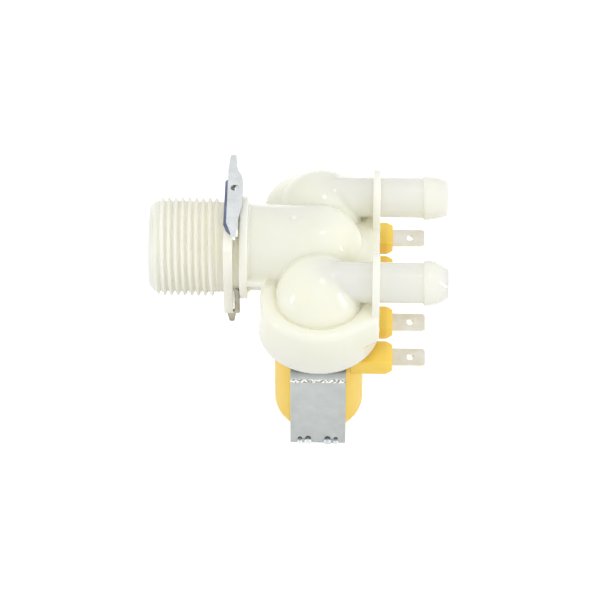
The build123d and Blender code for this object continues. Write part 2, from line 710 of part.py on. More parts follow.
def make_housing(y):
    """Yellow overmoulding: a drum with flat sides for the yoke, and two arms for the terminals."""
    flat = DRUM_R - DRUM_FLAT
    drum_top = YOKE_TOP_Z - YOKE_T - FIT
    head_top = TERMINAL_Z + ARM_T / 2 + HEAD_RISE
    arm_root_x = CHAMBER_X + HEAD_X + ARM_ROOT
    with BuildPart() as housing:
        with BuildSketch(at_valve(y, DRUM_BOTTOM_Z)):
            Circle(DRUM_R)
        extrude(amount=head_top - DRUM_BOTTOM_Z)
        fillet(housing.faces().sort_by(Axis.Z)[0].edges(), DRUM_ROUND)
        # The yoke's top plate lies on the drum, beside the head that carries the arms
        with BuildSketch(at_valve(y, drum_top)):
            with Locations((HEAD_X - DRUM_R, 0)):
                Rectangle(2 * DRUM_R, 2 * DRUM_R)
        extrude(amount=head_top - drum_top, mode=Mode.SUBTRACT)
        for side in (-1, 1):
            arm_y = y + side * TERMINAL_SPACING / 2
            with BuildSketch(Plane.XY.offset(TERMINAL_Z - ARM_T / 2)):
                with Locations(((arm_root_x + ARM_END_X) / 2, arm_y)):
                    Rectangle(ARM_END_X - arm_root_x, ARM_W)
            extrude(amount=ARM_T)
        chamfer(housing.faces().group_by(Axis.X)[-1].edges(), ARM_CHAMFER)
        # Flats: the front one clears the yoke's leg
        for flat_side in (-1, 1):
            with BuildSketch(at_valve(y, DRUM_BOTTOM_Z)):
                with Locations((0, flat_side * (flat + DRUM_R))):
                    Rectangle(2 * DRUM_R, 2 * DRUM_R)
            extrude(amount=drum_top - DRUM_BOTTOM_Z, mode=Mode.SUBTRACT)
        # Space for the wound spool
        with BuildSketch(at_valve(y, BOBBIN_LOW_Z - FIT)):
            Circle(COIL_CAVITY_R)
        extrude(amount=BOBBIN_HIGH_Z - BOBBIN_LOW_Z + 2 * FIT, mode=Mode.SUBTRACT)
        with BuildSketch(at_valve(y, DRUM_BOTTOM_Z)):
            Circle(BOBBIN_BORE_R)
        extrude(amount=drum_top - DRUM_BOTTOM_Z, mode=Mode.SUBTRACT)
        # Slots for the terminals
        for side in (-1, 1):
            arm_y = y + side * TERMINAL_SPACING / 2
            with BuildSketch(Plane.XY.offset(TERMINAL_Z - BLADE_T / 2 - FIT)):
                with Locations(((BLADE_ROOT_X + BLADE_TIP_X) / 2, arm_y)):
                    Rectangle(BLADE_TIP_X - BLADE_ROOT_X, BLADE_W + 2 * FIT)
            extrude(amount=BLADE_T + 2 * FIT, mode=Mode.SUBTRACT)
    return housing.part


def make_yoke(y):
    """One folded strip: the plate on top of the coil and the leg down its front, notched for the end plate."""
    with BuildPart() as yoke:
        with BuildSketch(Plane.YZ.offset(CHAMBER_X - YOKE_W / 2)):
            with BuildLine():
                Polyline(
                    (y + YOKE_BACK, YOKE_TOP_Z),
                    (y - YOKE_FACE, YOKE_TOP_Z),
                    (y - YOKE_FACE, YOKE_BOTTOM_Z),
                    (y - YOKE_FACE + YOKE_T, YOKE_BOTTOM_Z),
                    (y - YOKE_FACE + YOKE_T, YOKE_TOP_Z - YOKE_T),
                    (y + YOKE_BACK, YOKE_TOP_Z - YOKE_T),
                    close=True,
                )
            face = make_face()
            corners = face.vertices().group_by(Axis.X)
            fillet(corners[0].sort_by(Axis.Y)[-1], YOKE_BEND_R)
            fillet(corners[1].sort_by(Axis.Y)[-1], YOKE_BEND_R - YOKE_T)
        extrude(amount=YOKE_W)
        with BuildSketch(at_valve(y, YOKE_TOP_Z)):
            Circle(YOKE_HOLE_R)
        extrude(amount=-YOKE_T, mode=Mode.SUBTRACT)
        with BuildSketch(at_valve(y, YOKE_BOTTOM_Z)):
            with Locations((0, -YOKE_FACE + YOKE_T / 2)):
                with GridLocations(TAB_PITCH, 0, 2, 1):
                    Rectangle(TAB_W + 2 * FIT, YOKE_T)
        extrude(amount=YOKE_T + NOTCH_GAP, mode=Mode.SUBTRACT)
    return yoke.part


def make_end_plate(y):
    """Plate under the coil. Its two tabs pass through the leg's notches and are split by the peening."""
    tab_root = -YOKE_FACE + YOKE_T + FIT
    tab_end = -YOKE_FACE - TAB_PROUD
    with BuildPart() as plate:
        with BuildSketch(at_valve(y, YOKE_BOTTOM_Z)):
            with Locations((0, (YOKE_BACK + tab_root) / 2)):
                Rectangle(YOKE_W, YOKE_BACK - tab_root)
            with Locations((0, (tab_root + tab_end) / 2)):
                with GridLocations(TAB_PITCH, 0, 2, 1):
                    Rectangle(TAB_W, tab_root - tab_end)
            with Locations((0, tab_end + TAB_PROUD / 2)):
                with GridLocations(TAB_PITCH, 0, 2, 1):
                    Rectangle(TAB_SPLIT, TAB_PROUD, mode=Mode.SUBTRACT)
        extrude(amount=YOKE_T)
    return plate.part


def make_terminal(y):
    """Spade terminal: a flat blade with clipped corners and a hole near its end."""
    with BuildPart() as terminal:
        with BuildSketch(Plane.XY.offset(TERMINAL_Z - BLADE_T / 2)):
            with Locations(((BLADE_ROOT_X + FIT + BLADE_TIP_X) / 2, y)):
                Rectangle(BLADE_TIP_X - BLADE_ROOT_X - FIT, BLADE_W)
            with Locations((BLADE_TIP_X - BLADE_HOLE_SETBACK, y)):
                Circle(BLADE_HOLE_R, mode=Mode.SUBTRACT)
        extrude(amount=BLADE_T)
        tip_edges = terminal.edges().filter_by(Axis.Z).group_by(Axis.X)[-1]
        chamfer(tip_edges, BLADE_TIP_CHAMFER)
    return terminal.part


for side, y in VALVES.items():
    save(make_diaphragm(y), f"{side}_diaphragm")
    save(make_insert(y), f"{side}_diaphragm_insert")
    save(make_guide(y), f"{side}_guide_tube")
    save(make_plunger(y), f"{side}_plunger")
    save(make_plunger_seal(y), f"{side}_plunger_seal")
    save(make_spring(y), f"{side}_return_spring")
    save(make_bobbin(y), f"{side}_coil_bobbin")
    save(make_winding(y), f"{side}_coil_winding")
    save(make_sleeve(y), f"{side}_flux_sleeve")
    save(make_housing(y), f"{side}_coil_housing")
    save(make_yoke(y), f"{side}_yoke_frame")
    save(make_end_plate(y), f"{side}_yoke_end_plate")
    save(make_terminal(y - TERMINAL_SPACING / 2), f"{side}_outer_terminal" if y < 0 else f"{side}_inner_terminal")
    save(make_terminal(y + TERMINAL_SPACING / 2), f"{side}_inner_terminal" if y < 0 else f"{side}_outer_terminal")
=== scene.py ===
import math

import bmesh
import bpy
from mathutils import Matrix, Vector

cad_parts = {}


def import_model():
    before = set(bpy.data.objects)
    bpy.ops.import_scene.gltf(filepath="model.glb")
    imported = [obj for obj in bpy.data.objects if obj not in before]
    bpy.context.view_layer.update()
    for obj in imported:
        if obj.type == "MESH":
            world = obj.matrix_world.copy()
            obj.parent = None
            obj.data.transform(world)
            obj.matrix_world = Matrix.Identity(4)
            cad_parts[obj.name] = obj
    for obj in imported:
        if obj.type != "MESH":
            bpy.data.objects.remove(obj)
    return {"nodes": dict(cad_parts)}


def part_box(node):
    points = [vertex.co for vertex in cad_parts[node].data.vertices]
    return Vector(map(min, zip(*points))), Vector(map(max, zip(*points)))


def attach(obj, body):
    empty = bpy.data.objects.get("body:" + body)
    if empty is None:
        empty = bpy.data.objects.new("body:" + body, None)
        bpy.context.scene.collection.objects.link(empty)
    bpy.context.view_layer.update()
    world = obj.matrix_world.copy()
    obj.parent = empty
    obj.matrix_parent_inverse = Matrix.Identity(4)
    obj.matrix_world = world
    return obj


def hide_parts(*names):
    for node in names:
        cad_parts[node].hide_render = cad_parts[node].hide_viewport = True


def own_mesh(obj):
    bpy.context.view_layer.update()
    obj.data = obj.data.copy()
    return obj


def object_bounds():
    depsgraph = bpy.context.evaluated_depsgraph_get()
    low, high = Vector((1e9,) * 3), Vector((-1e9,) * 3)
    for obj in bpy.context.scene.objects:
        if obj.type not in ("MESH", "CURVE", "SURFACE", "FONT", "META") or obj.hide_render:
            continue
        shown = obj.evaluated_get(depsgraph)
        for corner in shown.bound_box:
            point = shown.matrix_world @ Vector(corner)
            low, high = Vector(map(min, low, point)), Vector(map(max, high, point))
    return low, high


# Looks of a washing machine inlet valve: cream nylon body, zinc bracket, yellow coils and spade terminals.
# Pieces are shaped in millimetres, in the frame of the CAD part, and scaled to metres when they are finished.

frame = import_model()
cad_low, cad_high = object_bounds()

MM = 0.001
ROUND_STEPS = 96
SMALL_STEPS = 48
HOLE_STEPS = 32

# Clearance between pieces, and how far a cutter or a joined piece runs past a face
FIT = 0.05
PAST = 1.0

# Body
CHAMBER_X = 45.5
VALVE_Y = 15.6
THREAD_R = 13.2
THREAD_ROOT_R = 12.04
THREAD_PITCH = 1.814
THREAD_START = 1.6
THREAD_TURNS = 9.4
THREAD_STEPS = 72
THREAD_SINK = 0.25
# Half the ridge's foot and half its crest, as shares of the pitch
THREAD_FLANK = 0.44
THREAD_LAND = 0.07
LEAD_IN_X = 1.3
MOUTH_R = 11.0
MOUTH_ROUND = 0.5
INLET_BORE_R = 9.7
BORE_CHAMFER = 0.6
SEAT_BORE_R = 8.4
SEAT_X = 26.0
FLANGE_X = 20.0
FLANGE_T = 2.45
FLANGE_HALF = 13.0
FLANGE_CORNER = 1.6
FLANGE_ROUND = 0.2
NECK_R = 11.7
COLLAR_X = 24.2
COLLAR_T = 2.1
COLLAR_R = 13.8
COLLAR_FILLET = 1.1
COLLAR_ROUND = 0.3
PIPE_R = 11.6
RIB_OUT = 1.8
RIB_T = 2.0
RIB_TOP_Z = 0.4
GATE_X = 38.4
GATE_R = 1.5
GATE_TOP = 0.55
GATE_SINK = 0.12
RING_SINK = 0.15
CUP_BASE_R = 16.3
CUP_TOP_R = 15.7
CUP_BASE_Z = -15.0
RIM_Z = -1.2
RIM_ROUND = 1.5
RIM_EDGE = 0.4
GROOVE_R = 12.3
GROOVE_FLOOR_Z = -2.0
DOME_R = 11.5
DOME_SIDE_Z = -2.0
DOME_TOP_Z = 9.4
CHANNEL_HALF = 6.4
CHANNEL_WALL = 3.2
DECK_H = 9.5
DECK_ROUND = 1.3
DECK_CORNER = 1.6
# Where the deck leaves the cup's wall, in degrees from the way to the outlets
DECK_LEAN = 62
FILL_R = 4.6
SADDLE_R = 9.6
SADDLE_Z = 3.4
SADDLE_START = 10
SADDLE_END = {"front": 155, "rear": 190}
OUTLET_Z = 3.8
STUB_R = 5.4
# Length of the tube's oval inner end, over its radius
TUBE_END = 1.5
OUTLET_BORE_R = 3.5
NOSE_CHAMFER = (0.5, 0.4)
PLATE_X = 61.5
PLATE_T = 2.0
PLATE_R = 7.6
PLATE_ROUND = 0.25
BARB_X = 73.3
BARB_R = 6.05
BARB_SLOPE = 0.35
BARB_EDGE = 0.12
BARB_LAND = 0.2
TIP_X = 79.6
TIP_R = 4.4
TIP_CHAMFER = 0.3
# Each barb's nose: how far outside TIP_R its curve ends, the power of the curve, and the places along it
NOSES = {
    "front": (-0.6, 2.4, (0.3, 0.45, 0.6, 0.72, 0.82, 0.9, 0.96, 1.0)),
    "rear": (0.35, 1.5, (0.3, 0.5, 0.7, 0.88)),
}
RECESS_R = 13.2
RECESS_Z = -11.4
VOXEL = 0.32
SOFTEN_PASSES = 4

# Coils
TERMINAL_SPACING = 12.6
TERMINAL_Z = -19.0
ARM_W = 7.9
ARM_T = 4.7
ARM_ROOT_X = 54.0
ARM_END_X = 65.2
ARM_TAPER = 1.6
ARM_TIP_SCALE = (1, 0.84, 0.74)
ARM_ROUND = 0.3
DRUM_R = 11.9
DRUM_TOP_Z = -21.05
DRUM_BOTTOM_Z = -45.0
DRUM_ROUND = 3.4
DRUM_FLAT = 10.85
HEAD_X = 7.5
HEAD_TOP_Z = -16.15
HEAD_CHAMFER = 0.4
BOBBIN_BORE_R = 6.2
YOKE_T = 1.6
YOKE_W = 14.9
YOKE_TOP_Z = -19.4
YOKE_BOTTOM_Z = -47.4
YOKE_FACE = 12.5
YOKE_BACK = 8.5
YOKE_BEND_R = 2.1
YOKE_HOLE_R = 5.05
TAB_W = 3.4
TAB_PITCH = 7.5
TAB_PROUD = 0.7
LUMP_PITCH = 2.24
LUMP_R = 1.0
LUMP_HEIGHT = 0.9
LUMP_LARGE = 1.15
LUMP_SMALL = 0.8
LUMP_PROUD = 0.15
# Hollow above each lump: its radii over the lump's size, and how far above the plate its middle is
PIT_RADII = (0.7, 0.85)
PIT_DEPTH = 0.8
PIT_RISE = 0.3
PEENED_FROM = 0.12
# Height, half width and raggedness of the painted reflection along the yoke's fold
PAINTED_REFLECTION_Z = -21.9
PAINTED_REFLECTION_HALF = 0.62
PAINTED_REFLECTION_RAGGED = 2.2
BLADE_W = 6.3
BLADE_T = 0.8
BLADE_ROOT_X = 58.0
BLADE_TIP_X = 74.0
BLADE_HOLE_R = 0.82
BLADE_HOLE_SETBACK = 4.1
BLADE_CORNER = 1.0
BLADE_ROUND = 0.2
BLADE_HOLE_EDGE = 0.18

# Springs under the plungers
SPRING_R = 2.4
SPRING_WIRE_R = 0.3
SPRING_TURNS = 5
SPRING_STEPS = 32

# Bracket
BRACKET_X = 22.775
BRACKET_T = 1.1
BRACKET_LEG = 2.1
BRACKET_FRONT_Y = -11.4
BRACKET_GRIP_Z = -4.6
BRACKET_TOP_FRONT_Y = -7.5
BRACKET_BACK_Y = 15.0
BRACKET_HOLE_R = 1.1
BRACKET_HOLE_X = 22.575
BRACKET_HOLE_Y = 7.5
# Cut-off upper back corner of the fork, and where its slanting lower back edge starts and ends
BRACKET_SHOULDER = (2.6, 4)
BRACKET_BACK_Z = -0.6 * NECK_R
BRACKET_FOOT_Y = 0.45 * BRACKET_BACK_Y
FORK_ROUND = 0.12
SHEET_ROUND = 0.15
FOLD_X = 24.15
FOLD_DEPTH = 1.5
FOLD_ROUND = 0.25
FOLD_TOP_Z = -4.9
# Outline of the hook's tongue: X, and Z from the end of the fork's leg
HOOK_EDGE = [(20.85, 0.7), (20.85, -0.5), (21.4, -3.2), (22.65, -3.2), (23.1, -0.5), (23.1, 0.7)]
LEAF_Z = 13.9
LEAF_ROLL = 0.75
# Outline of the leaf in X and Y: its point, the rolled edge and the edge over the pipe
LEAF_POINT = [(22.7, 19.8), (21.2, 19.8), (21.0, 18.7)]
LEAF_ROLLED = [(20.2, 16.2), (19.95, 14.1), (19.95, 10.5), (19.95, -5.4), (20.75, -7.8), (22.0, -9.3)]
LEAF_PIPE_SIDE = [
    (22.6, -10.6), (23.3, -10.6), (23.45, -7.3), (23.8, -3.6), (24.3, -0.6), (24.7, 1.8), (24.8, 4.9), (24.8, 8.6),
    (24.65, 10.8), (24.2, 12.6), (23.3, 14.2), (22.95, 16.3),
]
LIP_X = (19.95, 20.65)
LIP_Y = (-5.3, 14)
LIP_SINK = 0.2
# The painted shade, a dark bluish zinc on the leaf's rolled edge, ends at these
PAINTED_SHADE_X = 22.2
PAINTED_SHADE_Y = 10.4

VALVES = {"front": -VALVE_Y, "rear": VALVE_Y}


# Mesh helpers

def link(bm, name):
    """Puts a bmesh into the scene as an object."""
    mesh = bpy.data.meshes.new(name)
    bm.to_mesh(mesh)
    bm.free()
    made = bpy.data.objects.new(name, mesh)
    bpy.context.scene.collection.objects.link(made)
    return made


def lathe(points, origin=(0, 0, 0), axis="X", steps=ROUND_STEPS):
    """Turns a profile of (along, radius) points about a line along X or Z through origin."""
    bm = bmesh.new()
    base = Vector(origin)
    if axis == "X":
        verts = [bm.verts.new(base + Vector((a, 0, r))) for a, r in points]
        line = Vector((1, 0, 0))
    else:
        verts = [bm.verts.new(base + Vector((r, 0, a))) for a, r in points]
        line = Vector((0, 0, 1))
    for a, b in zip(verts, verts[1:]):
        bm.edges.new((a, b))
    bmesh.ops.spin(
        bm, geom=bm.verts[:] + bm.edges[:], cent=base, axis=line,
        angle=2 * math.pi, steps=steps, use_merge=True,
    )
    bmesh.ops.remove_doubles(bm, verts=bm.verts, dist=1e-4)
    bmesh.ops.recalc_face_normals(bm, faces=bm.faces)
    return bm


def prism(outline, height):
    """Extrudes a closed outline of 3-D points by the vector height."""
    bm = bmesh.new()
    face = bm.faces.new([bm.verts.new(p) for p in outline])
    top = bmesh.ops.extrude_face_region(bm, geom=[face])["geom"]
    moved = [v for v in top if isinstance(v, bmesh.types.BMVert)]
    bmesh.ops.translate(bm, verts=moved, vec=Vector(height))
    bmesh.ops.recalc_face_normals(bm, faces=bm.faces)
    return bm


def block(low, high):
    """A box between two corners."""
    low, high = Vector(low), Vector(high)
    bm = bmesh.new()
    bmesh.ops.create_cube(bm, size=1)
    bmesh.ops.scale(bm, vec=high - low, verts=bm.verts)
    bmesh.ops.translate(bm, vec=(low + high) / 2, verts=bm.verts)
    return bm


def bead(place, radii):
    """An ellipsoid with its own radius along each axis."""
    bm = bmesh.new()
    bmesh.ops.create_uvsphere(bm, u_segments=20, v_segments=12, radius=1)
    bmesh.ops.scale(bm, vec=radii, verts=bm.verts)
    bmesh.ops.translate(bm, vec=place, verts=bm.verts)
    return bm


def bevelled(bm, edges, width, segments, clamp=True):
    """Bevels the given edges, into a flat with one segment and a round with more."""
    bmesh.ops.bevel(
        bm, geom=edges, offset=width, segments=segments, profile=0.5, affect="EDGES", material=-1,
        clamp_overlap=clamp,
    )
    return bm


def round_edges(bm, width, segments=3, angle=30):
    """Rounds the edges that turn more than angle degrees."""
    limit = math.radians(angle)
    edges = [e for e in bm.edges if len(e.link_faces) == 2 and e.calc_face_angle(0) > limit]
    return bevelled(bm, edges, width, segments)


def applied(obj):
    """Replaces an object's mesh by what its modifiers make of it."""
    bpy.context.view_layer.update()
    shaped = obj.evaluated_get(bpy.context.evaluated_depsgraph_get())
    mesh = bpy.data.meshes.new_from_object(shaped)
    obj.modifiers.clear()
    old = obj.data
    obj.data = mesh
    bpy.data.meshes.remove(old)
    return obj


def combine(target, others, operation="UNION"):
    """Boolean of target with each other object, which is then removed."""
    for other in others:
        tool = target.modifiers.new("tool", "BOOLEAN")
        tool.operation = operation
        tool.solver = "MANIFOLD"
        tool.object = other
        applied(target)
        bpy.data.objects.remove(other)
    return target


def soften(obj, voxel, passes):
    """Melts the joins of a moulding into fillets."""
    melt = obj.modifiers.new("melt", "REMESH")
    melt.mode = "VOXEL"
    melt.voxel_size = voxel
    applied(obj)
    bm = bmesh.new()
    bm.from_mesh(obj.data)
    for _ in range(passes):
        bmesh.ops.smooth_vert(
            bm, verts=bm.verts, factor=0.5, use_axis_x=True, use_axis_y=True, use_axis_z=True
        )
    bm.to_mesh(obj.data)
    bm.free()
    return obj


def arc(centre, radius, start, end, steps):
    """Points on an arc in a plane, in degrees."""
    cx, cy = centre
    turns = [math.radians(start + (end - start) * i / steps) for i in range(steps + 1)]
    return [(cx + radius * math.cos(t), cy + radius * math.sin(t)) for t in turns]


def finished(obj, name, material, body, nodes, sharp=35):
    """Scales a piece to metres, gives it its material, parents it to its body and hides the CAD parts it stands
    for.
    """
    obj.name = name
    obj.data.transform(Matrix.Scale(MM, 4))
    obj.data.materials.clear()
    obj.data.materials.append(material)
    obj.data.shade_smooth()
    obj.data.set_sharp_from_angle(angle=math.radians(sharp))
    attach(obj, body)
    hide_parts(*nodes)
    return obj


# Materials

def new_material(name):
    """A material, its node tree, its shader and the object's own coordinates."""
    made = bpy.data.materials.new(name)
    made.use_nodes = True
    tree = made.node_tree
    shader = tree.nodes["Principled BSDF"]
    coords = tree.nodes.new("ShaderNodeTexCoord")
    return made, tree, shader, coords.outputs["Object"]


def feed(tree, value, socket):
    """Gives a socket a number, a colour or another node's output."""
    if isinstance(value, (int, float)):
        socket.default_value = value
    elif isinstance(value, tuple):
        socket.default_value = (*value, 1)
    else:
        tree.links.new(value, socket)


def noise(tree, coords, scale, detail=3.0, rough=0.55, stretch=None):
    """Noise with scale blobs to a metre, made coarser along an axis where stretch is below 1."""
    if stretch is not None:
        mapping = tree.nodes.new("ShaderNodeMapping")
        mapping.inputs["Scale"].default_value = stretch
        tree.links.new(coords, mapping.inputs["Vector"])
        coords = mapping.outputs["Vector"]
    texture = tree.nodes.new("ShaderNodeTexNoise")
    texture.inputs["Scale"].default_value = scale
    texture.inputs["Detail"].default_value = detail
    texture.inputs["Roughness"].default_value = rough
    tree.links.new(coords, texture.inputs["Vector"])
    return texture.outputs["Fac"]


def ramp(tree, value, stops):
    """Colour ramp with stops of (position, colour)."""
    node = tree.nodes.new("ShaderNodeValToRGB")
    elements = node.color_ramp.elements
    while len(elements) < len(stops):
        elements.new(0.5)
    for element, (position, colour) in zip(elements, stops):
        element.position = position
        element.color = (*colour, 1)
    tree.links.new(value, node.inputs["Fac"])
    return node.outputs["Color"]


def blend_colours(tree, factor, first, second):
    """First where factor is 0, second where it is 1."""
    node = tree.nodes.new("ShaderNodeMix")
    node.data_type = "RGBA"
    feed(tree, factor, node.inputs["Factor"])
    feed(tree, first, node.inputs[6])
    feed(tree, second, node.inputs[7])
    return node.outputs[2]


def to_range(tree, value, low, high, start=0.0, end=1.0):
    """Goes evenly from low, where value is start, to high, where it is end."""
    node = tree.nodes.new("ShaderNodeMapRange")
    names = ("Value", "From Min", "From Max", "To Min", "To Max")
    for name, number in zip(names, (value, start, end, low, high)):
        feed(tree, number, node.inputs[name])
    return node.outputs["Result"]


def maths(tree, operation, *values):
    """One step of arithmetic on numbers or other nodes' outputs."""
    node = tree.nodes.new("ShaderNodeMath")
    node.operation = operation
    for value, socket in zip(values, node.inputs):
        feed(tree, value, socket)
    return node.outputs[0]


def split_axes(tree, vector):
    """The X, Y and Z of a vector."""
    node = tree.nodes.new("ShaderNodeSeparateXYZ")
    tree.links.new(vector, node.inputs["Vector"])
    return node.outputs


def bumped(tree, shader, height, strength, distance):
    """Fine relief, seen in the shading only."""
    node = tree.nodes.new("ShaderNodeBump")
    node.inputs["Strength"].default_value = strength
    node.inputs["Distance"].default_value = distance
    tree.links.new(height, node.inputs["Height"])
    tree.links.new(node.outputs["Normal"], shader.inputs["Normal"])


def crevices(tree, distance):
    """How open the surface is, from 0 in a deep corner to 1 in the open."""
    node = tree.nodes.new("ShaderNodeAmbientOcclusion")
    node.samples = 8
    node.inputs["Distance"].default_value = distance
    return node.outputs["AO"]


CREVICE_REACH = 0.003
THREAD_DULLNESS = 0.35
# Painted light: a brighter, warmer nylon colour laid into corners, standing in for light through the nylon
NYLON_PAINTED_CORNER_LIGHT = (1.0, 0.97, 0.82)
# Painted light: a brighter, warmer colour for the neck, which lies in shade in its groove
NYLON_NECK_PAINTED_LIGHT = (1.0, 0.93, 0.77)
# Painted shade: a deeper yellow laid into the coils' corners
YELLOW_PAINTED_SHADE = (1.0, 0.68, 0.08)

# How much of the neck's painted light, a brighter, warmer colour for light through the nylon in its groove, the
# nylon has along X
NECK_PAINTED_LIGHT_SHARES = [
    (8, 0), (FLANGE_X - 1, 0.75), (FLANGE_X + FLANGE_T - 0.1, 0.3), (FLANGE_X + FLANGE_T + 0.1, 1),
    (COLLAR_X - 0.1, 1), (COLLAR_X + 0.1, 0.3), (36, 0),
]


def natural_nylon():
    """Unfilled nylon: cream, cloudy and glossy, duller on the thread, with painted light: a brighter, warmer
    colour in corners and at the neck, standing in for light that the nylon lets through.
    """
    made, tree, shader, coords = new_material("natural_nylon")
    cloud = ramp(tree, noise(tree, coords, 90, 3), [(0.35, (0.935, 0.92, 0.775)), (0.65, (0.955, 0.94, 0.80))])
    # Painted light: the more closed in a corner is, the more of the brighter corner colour it takes
    painted_light_share = to_range(tree, crevices(tree, CREVICE_REACH), 1.0, 0.0)
    colour = blend_colours(tree, painted_light_share, cloud, NYLON_PAINTED_CORNER_LIGHT)
    along = split_axes(tree, coords)["X"]
    # Painted light along X: brighter and warmer at the neck and at the thread's end next to the flange
    stops = [(place / PLATE_X, (share, share, share)) for place, share in NECK_PAINTED_LIGHT_SHARES]
    neck = ramp(tree, to_range(tree, along, 0, 1, 0, PLATE_X * MM), stops)
    tree.links.new(blend_colours(tree, neck, colour, NYLON_NECK_PAINTED_LIGHT), shader.inputs["Base Color"])
    shader.inputs["Subsurface Weight"].default_value = 1.0
    shader.inputs["Subsurface Radius"].default_value = (1.0, 0.97, 0.88)
    shader.inputs["Subsurface Scale"].default_value = 0.004
    gloss = to_range(tree, noise(tree, coords, 400, 2), 0.08, 0.14)
    on_thread = to_range(tree, along, 0, 1, (FLANGE_X + 1) * MM, (FLANGE_X - 1) * MM)
    tree.links.new(maths(tree, "MULTIPLY_ADD", on_thread, THREAD_DULLNESS, gloss), shader.inputs["Roughness"])
    bumped(tree, shader, noise(tree, coords, 700, 4), 0.06, 0.0003)
    return made


def coil_yellow():
    """Yellow overmoulding with a fine moulded grain, and painted shade: a deeper yellow in the corners."""
    made, tree, shader, coords = new_material("coil_yellow")
    mottled = ramp(tree, noise(tree, coords, 120, 3), [(0.3, (1.0, 0.66, 0.10)), (0.7, (1.0, 0.71, 0.13))])
    # Painted shade: a deeper yellow where corners close in the surface
    painted_light_share = to_range(tree, crevices(tree, CREVICE_REACH), 0.4, 0.0)
    tree.links.new(blend_colours(tree, painted_light_share, mottled, YELLOW_PAINTED_SHADE), shader.inputs["Base Color"])
    shader.inputs["Specular IOR Level"].default_value = 0.35
    shader.inputs["Subsurface Weight"].default_value = 0.15
    shader.inputs["Subsurface Radius"].default_value = (1.0, 0.5, 0.1)
    shader.inputs["Subsurface Scale"].default_value = 0.001
    tree.links.new(to_range(tree, noise(tree, coords, 500, 2), 0.36, 0.5), shader.inputs["Roughness"])
    bumped(tree, shader, noise(tree, coords, 1500, 3), 0.1, 0.0002)
    return made


def plated_steel(name, dark, light, rough, grain):
    """Plated sheet: cloudy, with fine streaks along the axis where grain is below 1."""
    made, tree, shader, coords = new_material(name)
    cloud = noise(tree, coords, 260, 4)
    tree.links.new(ramp(tree, cloud, [(0.3, dark), (0.7, light)]), shader.inputs["Base Color"])
    shader.inputs["Metallic"].default_value = 1.0
    tree.links.new(to_range(tree, cloud, rough - 0.08, rough + 0.1), shader.inputs["Roughness"])
    bumped(tree, shader, noise(tree, coords, 900, 3, 0.6, grain), 0.15, 0.0002)
    return made


def banded_steel():
    """Galvanised strip with a ragged band of painted reflection along its fold, bright and dark in patches,
    standing in for the bend reflecting what is above it.
    """
    made, tree, shader, coords = new_material("galvanised_yoke")
    cloud = noise(tree, coords, 260, 4)
    grey = ramp(tree, cloud, [(0.3, (0.405, 0.43, 0.425)), (0.7, (0.48, 0.505, 0.50))])
    ragged = noise(tree, coords, 1100, 4, 0.7)
    height = maths(tree, "MULTIPLY_ADD", ragged, PAINTED_REFLECTION_RAGGED * MM, split_axes(tree, coords)["Z"])
    near = maths(tree, "COMPARE", height, (PAINTED_REFLECTION_Z + PAINTED_REFLECTION_RAGGED / 2) * MM, PAINTED_REFLECTION_HALF * MM)
    # Painted reflection: bright and dark patches along the fold
    painted_reflection = ramp(tree, noise(tree, coords, 1500, 3), [(0.44, (0.25, 0.23, 0.19)), (0.52, (0.80, 0.80, 0.77))])
    tree.links.new(blend_colours(tree, near, grey, painted_reflection), shader.inputs["Base Color"])
    shader.inputs["Metallic"].default_value = 1.0
    tree.links.new(to_range(tree, cloud, 0.34, 0.52), shader.inputs["Roughness"])
    bumped(tree, shader, noise(tree, coords, 900, 3, 0.6, (1, 1, 0.08)), 0.15, 0.0002)
    return made


def plain(name, colour, rough, metallic=0.0, grain=600):
    """Pieces inside the valve: an even colour with a fine grain."""
    made, tree, shader, coords = new_material(name)
    fine = noise(tree, coords, grain, 3)
    darker = tuple(c * 0.86 for c in colour)
    tree.links.new(ramp(tree, fine, [(0.3, darker), (0.7, colour)]), shader.inputs["Base Color"])
    shader.inputs["Metallic"].default_value = metallic
    tree.links.new(to_range(tree, fine, rough - 0.06, rough + 0.08), shader.inputs["Roughness"])
    bumped(tree, shader, fine, 0.08, 0.0002)
    return made


nylon = natural_nylon()
yellow = coil_yellow()
zinc = plated_steel("zinc_plate", (0.80, 0.84, 0.85), (0.94, 0.97, 0.98), 0.26, (1, 0.1, 1))
# Dark bluish zinc: painted shade on the leaf's rolled edge, which sits in shadow
painted_shade_zinc = plated_steel("painted_shade_zinc", (0.10, 0.12, 0.20), (0.20, 0.23, 0.36), 0.3, (1, 0.1, 1))
peened_zinc = plated_steel("peened_zinc", (0.55, 0.58, 0.60), (0.78, 0.80, 0.82), 0.3, (1, 1, 1))
# Dark steel for the fork's lower front leg and hook: sheared steel at the hook's tip, and painted shade on the
# leg, which sits in shadow
cut_steel_and_painted_shade = plated_steel("cut_steel_and_painted_shade", (0.24, 0.23, 0.18), (0.46, 0.44, 0.36), 0.4, (1, 1, 1))
yoke_zinc = banded_steel()
tinned = plated_steel("tinned_brass", (0.88, 0.82, 0.66), (0.98, 0.96, 0.90), 0.32, (0.08, 1, 1))
rubber = plain("black_rubber", (0.03, 0.03, 0.03), 0.7)
white_plastic = plain("white_plastic", (0.82, 0.82, 0.78), 0.45)
guide_plastic = plain("guide_plastic", (0.78, 0.76, 0.66), 0.4)
copper = plain("copper_wire", (0.70, 0.32, 0.16), 0.35, 1.0, 1500)
steel = plain("turned_steel", (0.62, 0.62, 0.60), 0.3, 1.0, 1200)


# Body

def cup_profile():
    """Half section of a cup: its outer wall and the rounded rim."""
    centre = (CUP_TOP_R - RIM_ROUND, RIM_Z - RIM_ROUND)
    points = [(CUP_BASE_Z, 0), (CUP_BASE_Z, CUP_BASE_R)]
    points += [(z, r) for r, z in arc(centre, RIM_ROUND, 0, 90, 8)]
    points += [(RIM_Z, 0)]
    return points


